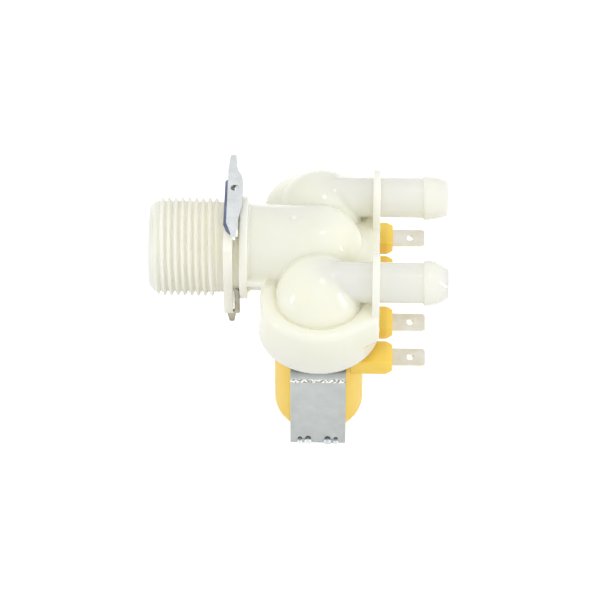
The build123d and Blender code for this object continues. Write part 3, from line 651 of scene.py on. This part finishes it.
def groove_profile():
    """Half section of what is open inside the rim."""
    top = RIM_Z + RIM_ROUND
    lip = GROOVE_R + RIM_EDGE
    return [
        (GROOVE_FLOOR_Z, 0), (GROOVE_FLOOR_Z, GROOVE_R), (RIM_Z - RIM_EDGE, GROOVE_R), (RIM_Z, lip),
        (top, lip), (top, 0),
    ]


def dome_profile():
    """Half section of a dome, a quarter of an ellipse above its foot."""
    height = DOME_TOP_Z - DOME_SIDE_Z
    points = [(GROOVE_FLOOR_Z - PAST, 0), (GROOVE_FLOOR_Z - PAST, DOME_R)]
    points += [(DOME_SIDE_Z + height * z, DOME_R * r) for r, z in arc((0, 0), 1, 0, 90, 16)]
    return points


def saddle(side, y):
    """Slope that fills the trough behind a dome, from the rim up to the dome's side."""
    low = GROOVE_FLOOR_Z - RIM_ROUND
    rim = CUP_TOP_R - RIM_EDGE
    bm = bmesh.new()
    section = ((SADDLE_R, low), (rim, low), (rim, RIM_Z), (SADDLE_R, SADDLE_Z))
    bm.faces.new([bm.verts.new((r, 0, z)) for r, z in section])
    start = Matrix.Rotation(math.radians(SADDLE_START), 3, "Z")
    bmesh.ops.rotate(bm, verts=bm.verts, cent=(0, 0, 0), matrix=start)
    bmesh.ops.spin(
        bm, geom=bm.verts[:] + bm.edges[:] + bm.faces[:], cent=(0, 0, 0), axis=(0, 0, 1),
        angle=math.radians(SADDLE_END[side] - SADDLE_START), steps=40,
    )
    bmesh.ops.recalc_face_normals(bm, faces=bm.faces)
    bmesh.ops.translate(bm, verts=bm.verts, vec=(CHAMBER_X, y, 0))
    return link(bm, "saddle")


def outlet_tube(y):
    """Outlet tube as far as its plate, closed by an oval end that sinks into the dome."""
    end = PLATE_X - PLATE_T * 0.3
    points = [(CHAMBER_X - TUBE_END * STUB_R * x, STUB_R * r) for x, r in arc((0, 0), 1, 0, 90, 12)]
    points += [(end, STUB_R), (end, 0)]
    return link(lathe(points, (0, y, OUTLET_Z)), "tube")


def chamber_fillet():
    """Hollow slope from the ball end of the pipe down to the deck."""
    z = RIM_Z + FILL_R
    r = math.sqrt((PIPE_R + FILL_R) ** 2 - z ** 2)
    touch = 180 + math.degrees(math.atan2(z, r))
    points = [(RIM_Z - 2 * PAST, 0), (RIM_Z - 2 * PAST, r)]
    points += [(b, a) for a, b in arc((r, z), FILL_R, 270, touch, 8)]
    points += [(points[-1][0], 0)]
    return link(lathe(points, (CHAMBER_X, 0, 0), "Z"), "fill")


def outlet_deck():
    """Deck between the cups and the outlet plates, whose sides run on from the cups' walls."""
    wall = CHANNEL_HALF + CHANNEL_WALL
    end = PLATE_X - FIT
    lean = math.radians(DECK_LEAN)
    side = [
        (CHAMBER_X, CUP_TOP_R), (CHAMBER_X + CUP_TOP_R * math.cos(lean), CUP_TOP_R * math.sin(lean)),
        (end - DECK_CORNER, wall), (end - DECK_CORNER * 0.3, wall - DECK_CORNER * 0.3), (end, wall - DECK_CORNER),
    ]
    outline = [(x, VALVE_Y + y, RIM_Z - DECK_H) for x, y in side]
    outline += [(x, -VALVE_Y - y, RIM_Z - DECK_H) for x, y in reversed(side)]
    deck = prism(outline, (0, 0, DECK_H))

    def outer(edge):
        """Level edges, apart from those across the two ends."""
        (x0, _, z0), (x1, _, z1) = (v.co for v in edge.verts)
        return abs(z0 - z1) < 0.01 and min(x0, x1) < end - 0.01 and max(x0, x1) > CHAMBER_X + 0.01

    bevelled(deck, [e for e in deck.edges if outer(e)], DECK_ROUND, 4)
    return link(deck, "deck")


def soft_core():
    """Pipe, cups and domes, melted into one moulding."""
    pipe = [(COLLAR_X, 0), (COLLAR_X, PIPE_R), (CHAMBER_X, PIPE_R)]
    pipe += [(CHAMBER_X + x, r) for x, r in arc((0, 0), PIPE_R, 90, 0, 16)[1:]]
    core = link(lathe(pipe), "core")
    out = PIPE_R + RIB_OUT
    rib_end = CHAMBER_X - CUP_TOP_R + RIM_ROUND
    rib = block((COLLAR_X + COLLAR_T / 2, -out, RIB_TOP_Z - RIB_T), (rib_end, out, RIB_TOP_Z))
    cups, cutters, extras = [], [], [link(rib, "rib"), chamber_fillet()]
    for side, y in VALVES.items():
        axis = (CHAMBER_X, y, 0)
        cups.append(link(lathe(cup_profile(), axis, "Z"), "cup"))
        cutters.append(link(lathe(groove_profile(), axis, "Z"), "groove"))
        dome = link(lathe(dome_profile(), axis, "Z"), "dome")
        extras += [dome, saddle(side, y), outlet_tube(y)]
    deck = combine(outlet_deck(), cups)
    combine(deck, cutters, "DIFFERENCE")
    combine(core, [deck] + extras)
    return soften(core, VOXEL, SOFTEN_PASSES)


def thread_ridge():
    """Helical ridge of the pipe thread, which fades out at both ends."""
    flank = THREAD_PITCH * THREAD_FLANK
    land = THREAD_PITCH * THREAD_LAND
    sink = THREAD_ROOT_R - THREAD_SINK
    start = THREAD_START
    bm = bmesh.new()
    section = [(start - flank, sink), (start - land, THREAD_R), (start + land, THREAD_R), (start + flank, sink)]
    bm.faces.new([bm.verts.new((x, 0, r)) for x, r in section])
    steps = round(THREAD_TURNS * THREAD_STEPS)
    bmesh.ops.spin(
        bm, geom=bm.verts[:] + bm.edges[:] + bm.faces[:], cent=(0, 0, 0), axis=(1, 0, 0),
        dvec=(THREAD_PITCH / THREAD_STEPS, 0, 0), angle=2 * math.pi * steps / THREAD_STEPS, steps=steps,
    )
    for vert in bm.verts:
        radius = vert.co.yz.length
        if radius > THREAD_ROOT_R:
            done = (vert.co.x - start) / THREAD_PITCH
            rise = min(1.0, max(0.02, 2 * done), max(0.02, 2 * (THREAD_TURNS - done)))
            crest = THREAD_ROOT_R + (THREAD_R - THREAD_ROOT_R) * rise
            vert.co.y *= crest / radius
            vert.co.z *= crest / radius
    bmesh.ops.recalc_face_normals(bm, faces=bm.faces)
    return link(bm, "ridge")


def inlet_tube():
    """Tube from the mouth to the collar: the thread's root, then the neck."""
    points = [(0, 0), (0, MOUTH_R - MOUTH_ROUND)]
    points += arc((MOUTH_ROUND, MOUTH_R - MOUTH_ROUND), MOUTH_ROUND, 180, 115, 4)[1:]
    points += [
        (LEAD_IN_X, THREAD_ROOT_R), (FLANGE_X + PAST, THREAD_ROOT_R), (FLANGE_X + PAST, NECK_R),
        (COLLAR_X + PAST, NECK_R), (COLLAR_X + PAST, 0),
    ]
    return link(lathe(points), "inlet")


def square_flange():
    """Square flange with round corners, in front of the bracket."""
    half, corner = FLANGE_HALF, FLANGE_CORNER
    outline = []
    for start, (sy, sz) in zip((0, 90, 180, 270), ((1, 1), (-1, 1), (-1, -1), (1, -1))):
        centre = (sy * (half - corner), sz * (half - corner))
        outline += [(FLANGE_X, y, z) for y, z in arc(centre, corner, start, start + 90, 6)]
    return link(round_edges(prism(outline, (FLANGE_T, 0, 0)), FLANGE_ROUND, 2, 60), "flange")


def collar():
    """Round collar, with a fillet down to the pipe behind it."""
    end = COLLAR_X + COLLAR_T
    bm = lathe([(COLLAR_X, 0), (COLLAR_X, COLLAR_R), (end, COLLAR_R), (end, 0)])
    ring = link(round_edges(bm, COLLAR_ROUND, 3, 60), "collar")
    foot = end + COLLAR_FILLET
    points = [(end - PAST / 2, 0), (end - PAST / 2, PIPE_R + COLLAR_FILLET)]
    points += [(foot + x, PIPE_R + COLLAR_FILLET + r) for x, r in arc((0, 0), COLLAR_FILLET, 180, 270, 6)]
    points += [(foot, PIPE_R - PAST / 2), (foot, 0)]
    return combine(ring, [link(lathe(points), "fillet")])


def outlet_plate(y):
    """Plate with a round top where an outlet tube leaves the deck."""
    back = PLATE_X - PLATE_T
    outline = [(back, y + a, OUTLET_Z + b) for a, b in arc((0, 0), PLATE_R, 0, 180, 28)]
    outline += [(back, y - PLATE_R, RIM_Z - PAST), (back, y + PLATE_R, RIM_Z - PAST)]
    return link(round_edges(prism(outline, (PLATE_T, 0, 0)), PLATE_ROUND, 2, 60), "plate")


def outlet_stub(side, y):
    """Tube and barb. The front barb is rounder at its nose than the rear one."""
    points = [(PLATE_X - PAST, 0), (PLATE_X - PAST, STUB_R), (BARB_X - BARB_SLOPE, STUB_R)]
    points += [(BARB_X, BARB_R - BARB_EDGE), (BARB_X + BARB_LAND, BARB_R)]
    length = TIP_X - BARB_X
    extra, power, places = NOSES[side]
    points += [(BARB_X + length * s, BARB_R + (TIP_R + extra - BARB_R) * s ** power) for s in places]
    if places[-1] < 1:
        points += [(TIP_X - TIP_CHAMFER, TIP_R + extra), (TIP_X, TIP_R)]
    points += [(TIP_X, 0)]
    return link(lathe(points, (0, y, OUTLET_Z), steps=SMALL_STEPS + 16), "stub")


def gate_mark():
    """Profiles of the sunk ring on the pipe and of the snapped-off point inside it, as (height, radius)."""
    deep, low = PIPE_R - RING_SINK, PIPE_R - GATE_SINK
    ring = [(deep, 0), (deep, GATE_R), (PIPE_R + PAST, GATE_R), (PIPE_R + PAST, 0)]
    point = [
        (PIPE_R - PAST, 0), (PIPE_R - PAST, GATE_R), (low, GATE_R), (low, GATE_R * 0.5),
        (PIPE_R + GATE_TOP * 0.8, GATE_R * 0.4), (PIPE_R + GATE_TOP, 0),
    ]
    return ring, point


def water_ways():
    """Cutters for the inlet bore, the two outlet bores and the recesses that hold the covers."""
    mouth = INLET_BORE_R + BORE_CHAMFER
    inlet = [
        (-PAST, 0), (-PAST, mouth), (0, mouth), (BORE_CHAMFER, INLET_BORE_R), (SEAT_X, INLET_BORE_R),
        (SEAT_X, SEAT_BORE_R), (CHAMBER_X, SEAT_BORE_R), (CHAMBER_X, 0),
    ]
    long, wide = NOSE_CHAMFER
    nose = OUTLET_BORE_R + wide
    outlet = [
        (CHAMBER_X, 0), (CHAMBER_X, OUTLET_BORE_R), (TIP_X - long, OUTLET_BORE_R), (TIP_X, nose),
        (TIP_X + PAST, nose), (TIP_X + PAST, 0),
    ]
    recess = [(CUP_BASE_Z - PAST, 0), (CUP_BASE_Z - PAST, RECESS_R), (RECESS_Z, RECESS_R), (RECESS_Z, 0)]
    bores = [link(lathe(inlet), "bore")]
    for y in VALVES.values():
        bores.append(link(lathe(outlet, (0, y, OUTLET_Z), steps=SMALL_STEPS), "way"))
        bores.append(link(lathe(recess, (CHAMBER_X, y, 0), "Z"), "recess"))
    return bores


def valve_body():
    """The whole moulding: the soft core, the crisp parts joined to it, the bores and the thread."""
    body = soft_core()
    crisp = [inlet_tube(), square_flange(), collar()]
    for side, y in VALVES.items():
        crisp += [outlet_plate(y), outlet_stub(side, y)]
    combine(body, crisp)
    ring, point = gate_mark()
    combine(body, [link(lathe(ring, (GATE_X, 0, 0), "Z", HOLE_STEPS), "ring")], "DIFFERENCE")
    combine(body, [link(lathe(point, (GATE_X, 0, 0), "Z", HOLE_STEPS), "gate")])
    combine(body, water_ways(), "DIFFERENCE")
    combine(body, [thread_ridge()])
    return finished(body, "body_moulding", nylon, "valve", ["valve_body"], 38)


# Coils

def coil_housing(side, y):
    """Yellow drum with flats, a head beside the yoke's plate, and two terminal arms with chamfered ends."""
    axis = (CHAMBER_X, y, 0)
    centre = (DRUM_R - DRUM_ROUND, DRUM_BOTTOM_Z + DRUM_ROUND)
    points = [(DRUM_BOTTOM_Z, 0)]
    points += [(z, r) for r, z in arc(centre, DRUM_ROUND, -90, 0, 8)]
    points += [(HEAD_TOP_Z - HEAD_CHAMFER, DRUM_R), (HEAD_TOP_Z, DRUM_R - HEAD_CHAMFER), (HEAD_TOP_Z, 0)]
    drum = link(lathe(points, axis, "Z"), "drum")
    big = 2 * DRUM_R
    cutters = [block((CHAMBER_X - big, y - big, DRUM_TOP_Z), (CHAMBER_X + HEAD_X, y + big, HEAD_TOP_Z + 2 * PAST))]
    for flat_side in (-1, 1):
        near, far = sorted((y + flat_side * DRUM_FLAT, y + flat_side * big))
        cutters.append(block((CHAMBER_X - big, near, DRUM_BOTTOM_Z - PAST), (CHAMBER_X + big, far, DRUM_TOP_Z)))
    combine(drum, [link(c, "cutter") for c in cutters], "DIFFERENCE")
    arms = []
    for arm_y in (y - TERMINAL_SPACING / 2, y + TERMINAL_SPACING / 2):
        low = (ARM_ROOT_X, arm_y - ARM_W / 2, TERMINAL_Z - ARM_T / 2)
        arm = block(low, (ARM_END_X, arm_y + ARM_W / 2, TERMINAL_Z + ARM_T / 2))
        everything = arm.verts[:] + arm.edges[:] + arm.faces[:]
        bmesh.ops.bisect_plane(arm, geom=everything, plane_co=(ARM_END_X - ARM_TAPER, 0, 0), plane_no=(1, 0, 0))
        tip = [v for v in arm.verts if v.co.x > ARM_END_X - 0.1]
        to_middle = Matrix.Translation((0, -arm_y, -TERMINAL_Z))
        bmesh.ops.scale(arm, vec=ARM_TIP_SCALE, space=to_middle, verts=tip)
        arms.append(link(round_edges(arm, ARM_ROUND, 3, 20), "arm"))
    combine(drum, arms)
    foot, top = DRUM_BOTTOM_Z - PAST, DRUM_TOP_Z + PAST
    hole = lathe([(foot, 0), (foot, BOBBIN_BORE_R), (top, BOBBIN_BORE_R), (top, 0)], axis, "Z", SMALL_STEPS)
    combine(drum, [link(hole, "hole")], "DIFFERENCE")
    return finished(drum, f"{side}_coil_moulding", yellow, "valve", [f"{side}_coil_housing"])


def tab_places():
    """X of the two tabs of an end plate."""
    return (CHAMBER_X - TAB_PITCH / 2, CHAMBER_X + TAB_PITCH / 2)


def lumps(tab_x):
    """Places of the two peened halves of a tab, and their sizes. The half nearer the middle is larger."""
    inward = 0.5 if tab_x < CHAMBER_X else -0.5
    return (tab_x + inward * LUMP_PITCH, LUMP_LARGE), (tab_x - inward * LUMP_PITCH, LUMP_SMALL)


def yoke_strip(side, y):
    """Folded steel strip, notched at its lower end for the tabs of the end plate."""
    front, back = y - YOKE_FACE, y + YOKE_BACK
    top, end = YOKE_TOP_Z, YOKE_BOTTOM_Z
    x0 = CHAMBER_X - YOKE_W / 2
    centre = (front + YOKE_BEND_R, top - YOKE_BEND_R)
    outer = arc(centre, YOKE_BEND_R, 90, 180, 8)
    inner = arc(centre, YOKE_BEND_R - YOKE_T, 180, 90, 5)
    outline = [(back, top)] + outer + [(front, end), (front + YOKE_T, end)] + inner + [(back, top - YOKE_T)]
    strip = prism([(x0, a, b) for a, b in outline], (YOKE_W, 0, 0))
    yoke = link(round_edges(strip, SHEET_ROUND, 2, 60), "yoke")
    hole = [(top - 4, 0), (top - 4, YOKE_HOLE_R), (top + PAST, YOKE_HOLE_R), (top + PAST, 0)]
    cutters = [link(lathe(hole, (CHAMBER_X, y, 0), "Z", SMALL_STEPS), "hole")]
    half = TAB_W / 2 + FIT
    for tab_x in tab_places():
        high = (tab_x + half, front + YOKE_T + PAST, end + YOKE_T + FIT)
        notch = block((tab_x - half, front - PAST, end - PAST), high)
        cutters.append(link(notch, "notch"))
        for lump_x, size in lumps(tab_x):
            radii = (PIT_RADII[0] * size, PIT_DEPTH, PIT_RADII[1] * size)
            pit = bead((lump_x, front, end + YOKE_T + PIT_RISE), radii)
            cutters.append(link(pit, "pit"))
    combine(yoke, cutters, "DIFFERENCE")
    return finished(yoke, f"{side}_yoke_strip", yoke_zinc, "valve", [f"{side}_yoke_frame"])


def end_plate(side, y):
    """Plate under the coil, whose two tabs are split and peened over the front of the yoke."""
    front, back = y - YOKE_FACE, y + YOKE_BACK
    low, high = YOKE_BOTTOM_Z, YOKE_BOTTOM_Z + YOKE_T
    plate = block((CHAMBER_X - YOKE_W / 2, front + YOKE_T + FIT, low), (CHAMBER_X + YOKE_W / 2, back, high))
    plate = link(round_edges(plate, SHEET_ROUND, 2), "plate")
    for tab_x in tab_places():
        tab = block((tab_x - TAB_W / 2, front - 2 * FIT, low), (tab_x + TAB_W / 2, front + YOKE_T + PAST, high))
        parts = [link(tab, "tab")]
        for lump_x, size in lumps(tab_x):
            radii = (LUMP_R * size, TAB_PROUD + LUMP_PROUD, LUMP_R * LUMP_HEIGHT * size)
            parts.append(link(bead((lump_x, front - FIT, (low + high) / 2 - FIT), radii), "lump"))
        combine(plate, parts)
    finished(plate, f"{side}_end_plate", yoke_zinc, "valve", [f"{side}_yoke_end_plate"])
    plate.data.materials.append(peened_zinc)
    for face in plate.data.polygons:
        if face.center.y < (front - PEENED_FROM) * MM:
            face.material_index = 1
    return plate


def terminal(name, y):
    """Spade blade with rounded corners, coined edges and a round hole."""
    half, corner = BLADE_W / 2, BLADE_CORNER
    outline = [(BLADE_ROOT_X, y - half), (BLADE_TIP_X - corner, y - half)]
    outline += arc((BLADE_TIP_X - corner, y - half + corner), corner, -90, 0, 6)[1:]
    outline += arc((BLADE_TIP_X - corner, y + half - corner), corner, 0, 90, 6)
    outline += [(BLADE_ROOT_X, y + half)]
    blade = prism([(a, b, TERMINAL_Z - BLADE_T / 2) for a, b in outline], (0, 0, BLADE_T))
    blade = link(round_edges(blade, BLADE_ROUND, 3, 60), "blade")
    x = BLADE_TIP_X - BLADE_HOLE_SETBACK
    edge = BLADE_HOLE_R + BLADE_HOLE_EDGE
    face = BLADE_T / 2
    neck = face - BLADE_HOLE_EDGE
    hole = [
        (-PAST, 0), (-PAST, edge), (-face, edge), (-neck, BLADE_HOLE_R), (neck, BLADE_HOLE_R), (face, edge),
        (PAST, edge), (PAST, 0),
    ]
    combine(blade, [link(lathe(hole, (x, y, TERMINAL_Z), "Z", HOLE_STEPS), "hole")], "DIFFERENCE")
    return finished(blade, f"{name}_blade", tinned, "valve", [name])


def return_spring(side, y):
    """Wire spring under a plunger, as long as the CAD spring it stands for."""
    node = f"{side}_return_spring"
    low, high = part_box(node)
    foot, length = low[2] / MM, (high[2] - low[2]) / MM
    bm = bmesh.new()
    bmesh.ops.create_circle(bm, cap_ends=True, segments=10, radius=SPRING_WIRE_R)
    bmesh.ops.rotate(bm, verts=bm.verts, cent=(0, 0, 0), matrix=Matrix.Rotation(math.radians(90), 3, "X"))
    bmesh.ops.translate(bm, verts=bm.verts, vec=(SPRING_R, 0, SPRING_WIRE_R))
    steps = SPRING_TURNS * SPRING_STEPS
    bmesh.ops.spin(
        bm, geom=bm.verts[:] + bm.edges[:] + bm.faces[:], cent=(0, 0, 0), axis=(0, 0, 1),
        dvec=(0, 0, (length - 2 * SPRING_WIRE_R) / steps), angle=2 * math.pi * SPRING_TURNS, steps=steps,
    )
    bmesh.ops.recalc_face_normals(bm, faces=bm.faces)
    bmesh.ops.translate(bm, verts=bm.verts, vec=(CHAMBER_X, y, foot))
    wire = finished(link(bm, "wire"), f"{side}_spring_wire", steel, "valve", [node])
    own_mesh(wire)
    return wire


# Bracket

def bracket():
    """Zinc-plated fork in the groove of the neck, with a pointed leaf folded over the square flange."""
    slot = NECK_R + FIT
    leg = slot + BRACKET_LEG
    grip = -180 - math.degrees(math.asin(BRACKET_GRIP_Z / slot))
    top = LEAF_Z + BRACKET_T / 2
    along, down = BRACKET_SHOULDER
    outline = [
        (BRACKET_TOP_FRONT_Y, slot), (BRACKET_TOP_FRONT_Y, top), (BRACKET_BACK_Y - along, top),
        (BRACKET_BACK_Y, LEAF_Z - down), (BRACKET_BACK_Y, BRACKET_BACK_Z), (BRACKET_FOOT_Y, -leg),
        (BRACKET_FRONT_Y, -leg), (BRACKET_FRONT_Y, BRACKET_GRIP_Z),
    ]
    outline += arc((0, 0), slot, grip, 90, 40)
    fork = prism([(BRACKET_X, a, b) for a, b in outline], (BRACKET_T, 0, 0))
    fork = link(round_edges(fork, FORK_ROUND, 2, 60), "fork")
    front = BRACKET_FRONT_Y
    hook = prism([(a, front, b - leg) for a, b in HOOK_EDGE], (0, BRACKET_T, 0))
    hook = link(round_edges(hook, SHEET_ROUND, 2, 50), "hook")
    fold = block((BRACKET_X, front - 0.02, -leg), (FOLD_X, front + FOLD_DEPTH, FOLD_TOP_Z))
    fold = link(round_edges(fold, FOLD_ROUND, 3), "fold")
    leaf = prism([(a, b, LEAF_Z) for a, b in LEAF_POINT + LEAF_ROLLED + LEAF_PIPE_SIDE], (0, 0, BRACKET_T))

    def on_roll(vert):
        """A corner of the rolled edge, on the leaf's upper face."""
        return vert.co.z > top and (round(vert.co.x, 2), round(vert.co.y, 2)) in LEAF_ROLLED

    bevelled(leaf, [e for e in leaf.edges if all(on_roll(v) for v in e.verts)], LEAF_ROLL, 1, clamp=False)
    leaf = link(round_edges(leaf, SHEET_ROUND, 2, 60), "leaf")
    lip = block((LIP_X[0], LIP_Y[0], FLANGE_HALF + FIT), (LIP_X[1], LIP_Y[1], LEAF_Z + LIP_SINK))
    low, high = LEAF_Z - PAST, LEAF_Z + 3 * PAST
    hole = lathe([(low, 0), (low, BRACKET_HOLE_R), (high, BRACKET_HOLE_R), (high, 0)],
                 (BRACKET_HOLE_X, BRACKET_HOLE_Y, 0), "Z", HOLE_STEPS)
    combine(leaf, [link(hole, "hole")], "DIFFERENCE")
    combine(fork, [hook, fold, leaf, link(lip, "lip")])
    finished(fork, "bracket_sheet", zinc, "valve", ["mounting_bracket"])
    fork.data.materials.append(painted_shade_zinc)
    fork.data.materials.append(cut_steel_and_painted_shade)
    for face in fork.data.polygons:
        x, y, z = face.center / MM
        rolled = z > LEAF_Z + LIP_SINK and face.normal.x < -0.3 and face.normal.z > 0.2
        # Painted shade: the leaf's rolled edge takes the dark bluish zinc
        if rolled and x < PAINTED_SHADE_X and y < PAINTED_SHADE_Y:
            face.material_index = 1
        # Sheared steel on the hook, and painted shade on the lower front leg
        elif z < BRACKET_GRIP_Z and y < front + FOLD_DEPTH:
            face.material_index = 2
    return fork


valve_body()
bracket()
for side, y in VALVES.items():
    coil_housing(side, y)
    yoke_strip(side, y)
    end_plate(side, y)
    return_spring(side, y)
    inward = 1 if y < 0 else -1
    terminal(f"{side}_inner_terminal", y + inward * TERMINAL_SPACING / 2)
    terminal(f"{side}_outer_terminal", y - inward * TERMINAL_SPACING / 2)

NODE_MATERIALS = {
    "inlet_filter": white_plastic,
    "flow_regulator_holder": white_plastic,
    "flow_regulator_washer": rubber,
    "diaphragm": rubber,
    "diaphragm_insert": white_plastic,
    "guide_tube": guide_plastic,
    "plunger": steel,
    "plunger_seal": rubber,
    "coil_bobbin": guide_plastic,
    "coil_winding": copper,
    "flux_sleeve": steel,
}
for node, obj in frame["nodes"].items():
    kind = node.removeprefix("front_").removeprefix("rear_")
    if kind in NODE_MATERIALS:
        obj.data.materials.clear()
        obj.data.materials.append(NODE_MATERIALS[kind])


# Floor, light and camera

FLOOR_Z = cad_low.z - 0.00005
FLOOR_SIZE = 3
FLOOR_GREY = 0.66
FLOOR_GLOW = 0.7
WALL_FRONT = 1.02
WALL_BACK = 0.79
LAMP_TARGET = (0.04, 0, -0.01)
LAMPS = {
    # Place, width and height in metres, and power in watts
    "top": ((0.13, -0.01, 0.60), 0.08, 0.08, 0.2),
    "left": ((-0.52, -0.17, 0.07), 0.06, 0.16, 0.35),
    "right": ((0.57, -0.23, 0.14), 0.06, 0.34, 0.50),
}


def pale_floor():
    """White floor that keeps a soft shadow and reads white to the camera and in reflections."""
    made, tree, shader, _ = new_material("pale_floor")
    shader.inputs["Base Color"].default_value = (FLOOR_GREY, FLOOR_GREY, FLOOR_GREY, 1)
    shader.inputs["Roughness"].default_value = 0.9
    shader.inputs["Specular IOR Level"].default_value = 0.1
    path = tree.nodes.new("ShaderNodeLightPath").outputs
    seen = maths(tree, "MAXIMUM", path["Is Camera Ray"], path["Is Glossy Ray"])
    glow = tree.nodes.new("ShaderNodeEmission")
    tree.links.new(maths(tree, "MULTIPLY", seen, FLOOR_GLOW), glow.inputs["Strength"])
    both = tree.nodes.new("ShaderNodeAddShader")
    tree.links.new(shader.outputs[0], both.inputs[0])
    tree.links.new(glow.outputs[0], both.inputs[1])
    tree.links.new(both.outputs[0], tree.nodes["Material Output"].inputs["Surface"])
    return made


def floor():
    """Level sheet just under the lowest point of the valve."""
    bm = bmesh.new()
    bmesh.ops.create_grid(bm, x_segments=1, y_segments=1, size=FLOOR_SIZE)
    bmesh.ops.translate(bm, verts=bm.verts, vec=(0, 0, FLOOR_Z))
    obj = link(bm, "floor")
    obj.data.materials.append(pale_floor())


def area_light(name, place, width, height, power):
    """Rectangular lamp that faces the valve."""
    lamp = bpy.data.lights.new(name, "AREA")
    lamp.shape = "RECTANGLE"
    lamp.size = width
    lamp.size_y = height
    lamp.energy = power
    obj = bpy.data.objects.new(name, lamp)
    bpy.context.scene.collection.objects.link(obj)
    obj.location = place
    obj.rotation_euler = (Vector(LAMP_TARGET) - Vector(place)).to_track_quat("-Z", "Y").to_euler()


def world():
    """Studio walls, a little darker behind the valve, that the camera sees as plain white."""
    sky = bpy.data.worlds.new("studio")
    bpy.context.scene.world = sky
    sky.use_nodes = True
    tree = sky.node_tree
    walls = tree.nodes["Background"]
    walls.inputs["Color"].default_value = (1, 1, 1, 1)
    facing = split_axes(tree, tree.nodes.new("ShaderNodeTexCoord").outputs["Generated"])["Y"]
    around = to_range(tree, facing, WALL_FRONT, WALL_BACK, -1)
    seen = tree.nodes.new("ShaderNodeLightPath").outputs["Is Camera Ray"]
    tree.links.new(to_range(tree, seen, around, 1.0), walls.inputs["Strength"])


# The camera looks along +Y from above, as in the photograph. Angles are in degrees, the rest in metres.
CAMERA_ELEVATION = 47.72
CAMERA_TURN = 1.27
CAMERA_ROLL = -0.06
CAMERA_DISTANCE = 0.939
PIXELS_PER_MM = 3.737
IMAGE_WIDTH = 600
SENSOR_MM = 36
AIM = Vector((0.040, 0, 0))
AIM_RIGHT = 0.000075
AIM_DOWN = 0.01393


def camera():
    """Long lens far away, so that the view is close to parallel."""
    turn, rise, roll = (math.radians(a) for a in (CAMERA_TURN, CAMERA_ELEVATION, CAMERA_ROLL))
    right = Vector((math.cos(turn), math.sin(turn), 0))
    ahead = Vector((-math.sin(turn), math.cos(turn), 0))
    up = ahead * math.sin(rise) + Vector((0, 0, math.cos(rise)))
    back = Vector((0, 0, math.sin(rise))) - ahead * math.cos(rise)
    aim = AIM + right * AIM_RIGHT - up * AIM_DOWN
    rolled_right = right * math.cos(roll) + up * math.sin(roll)
    rolled_up = up * math.cos(roll) - right * math.sin(roll)
    lens = bpy.data.cameras.new("camera")
    lens.sensor_width = SENSOR_MM
    lens.lens = PIXELS_PER_MM * CAMERA_DISTANCE / MM * lens.sensor_width / IMAGE_WIDTH
    lens.clip_start, lens.clip_end = 0.01, 20
    obj = bpy.data.objects.new("camera", lens)
    bpy.context.scene.collection.objects.link(obj)
    facing = Matrix((rolled_right, rolled_up, back)).transposed().to_4x4()
    obj.matrix_world = Matrix.Translation(aim + back * CAMERA_DISTANCE) @ facing
    bpy.context.scene.camera = obj


floor()
for lamp_name, settings in LAMPS.items():
    area_light(lamp_name, *settings)
world()
camera()
bpy.context.scene.view_settings.view_transform = "Standard"
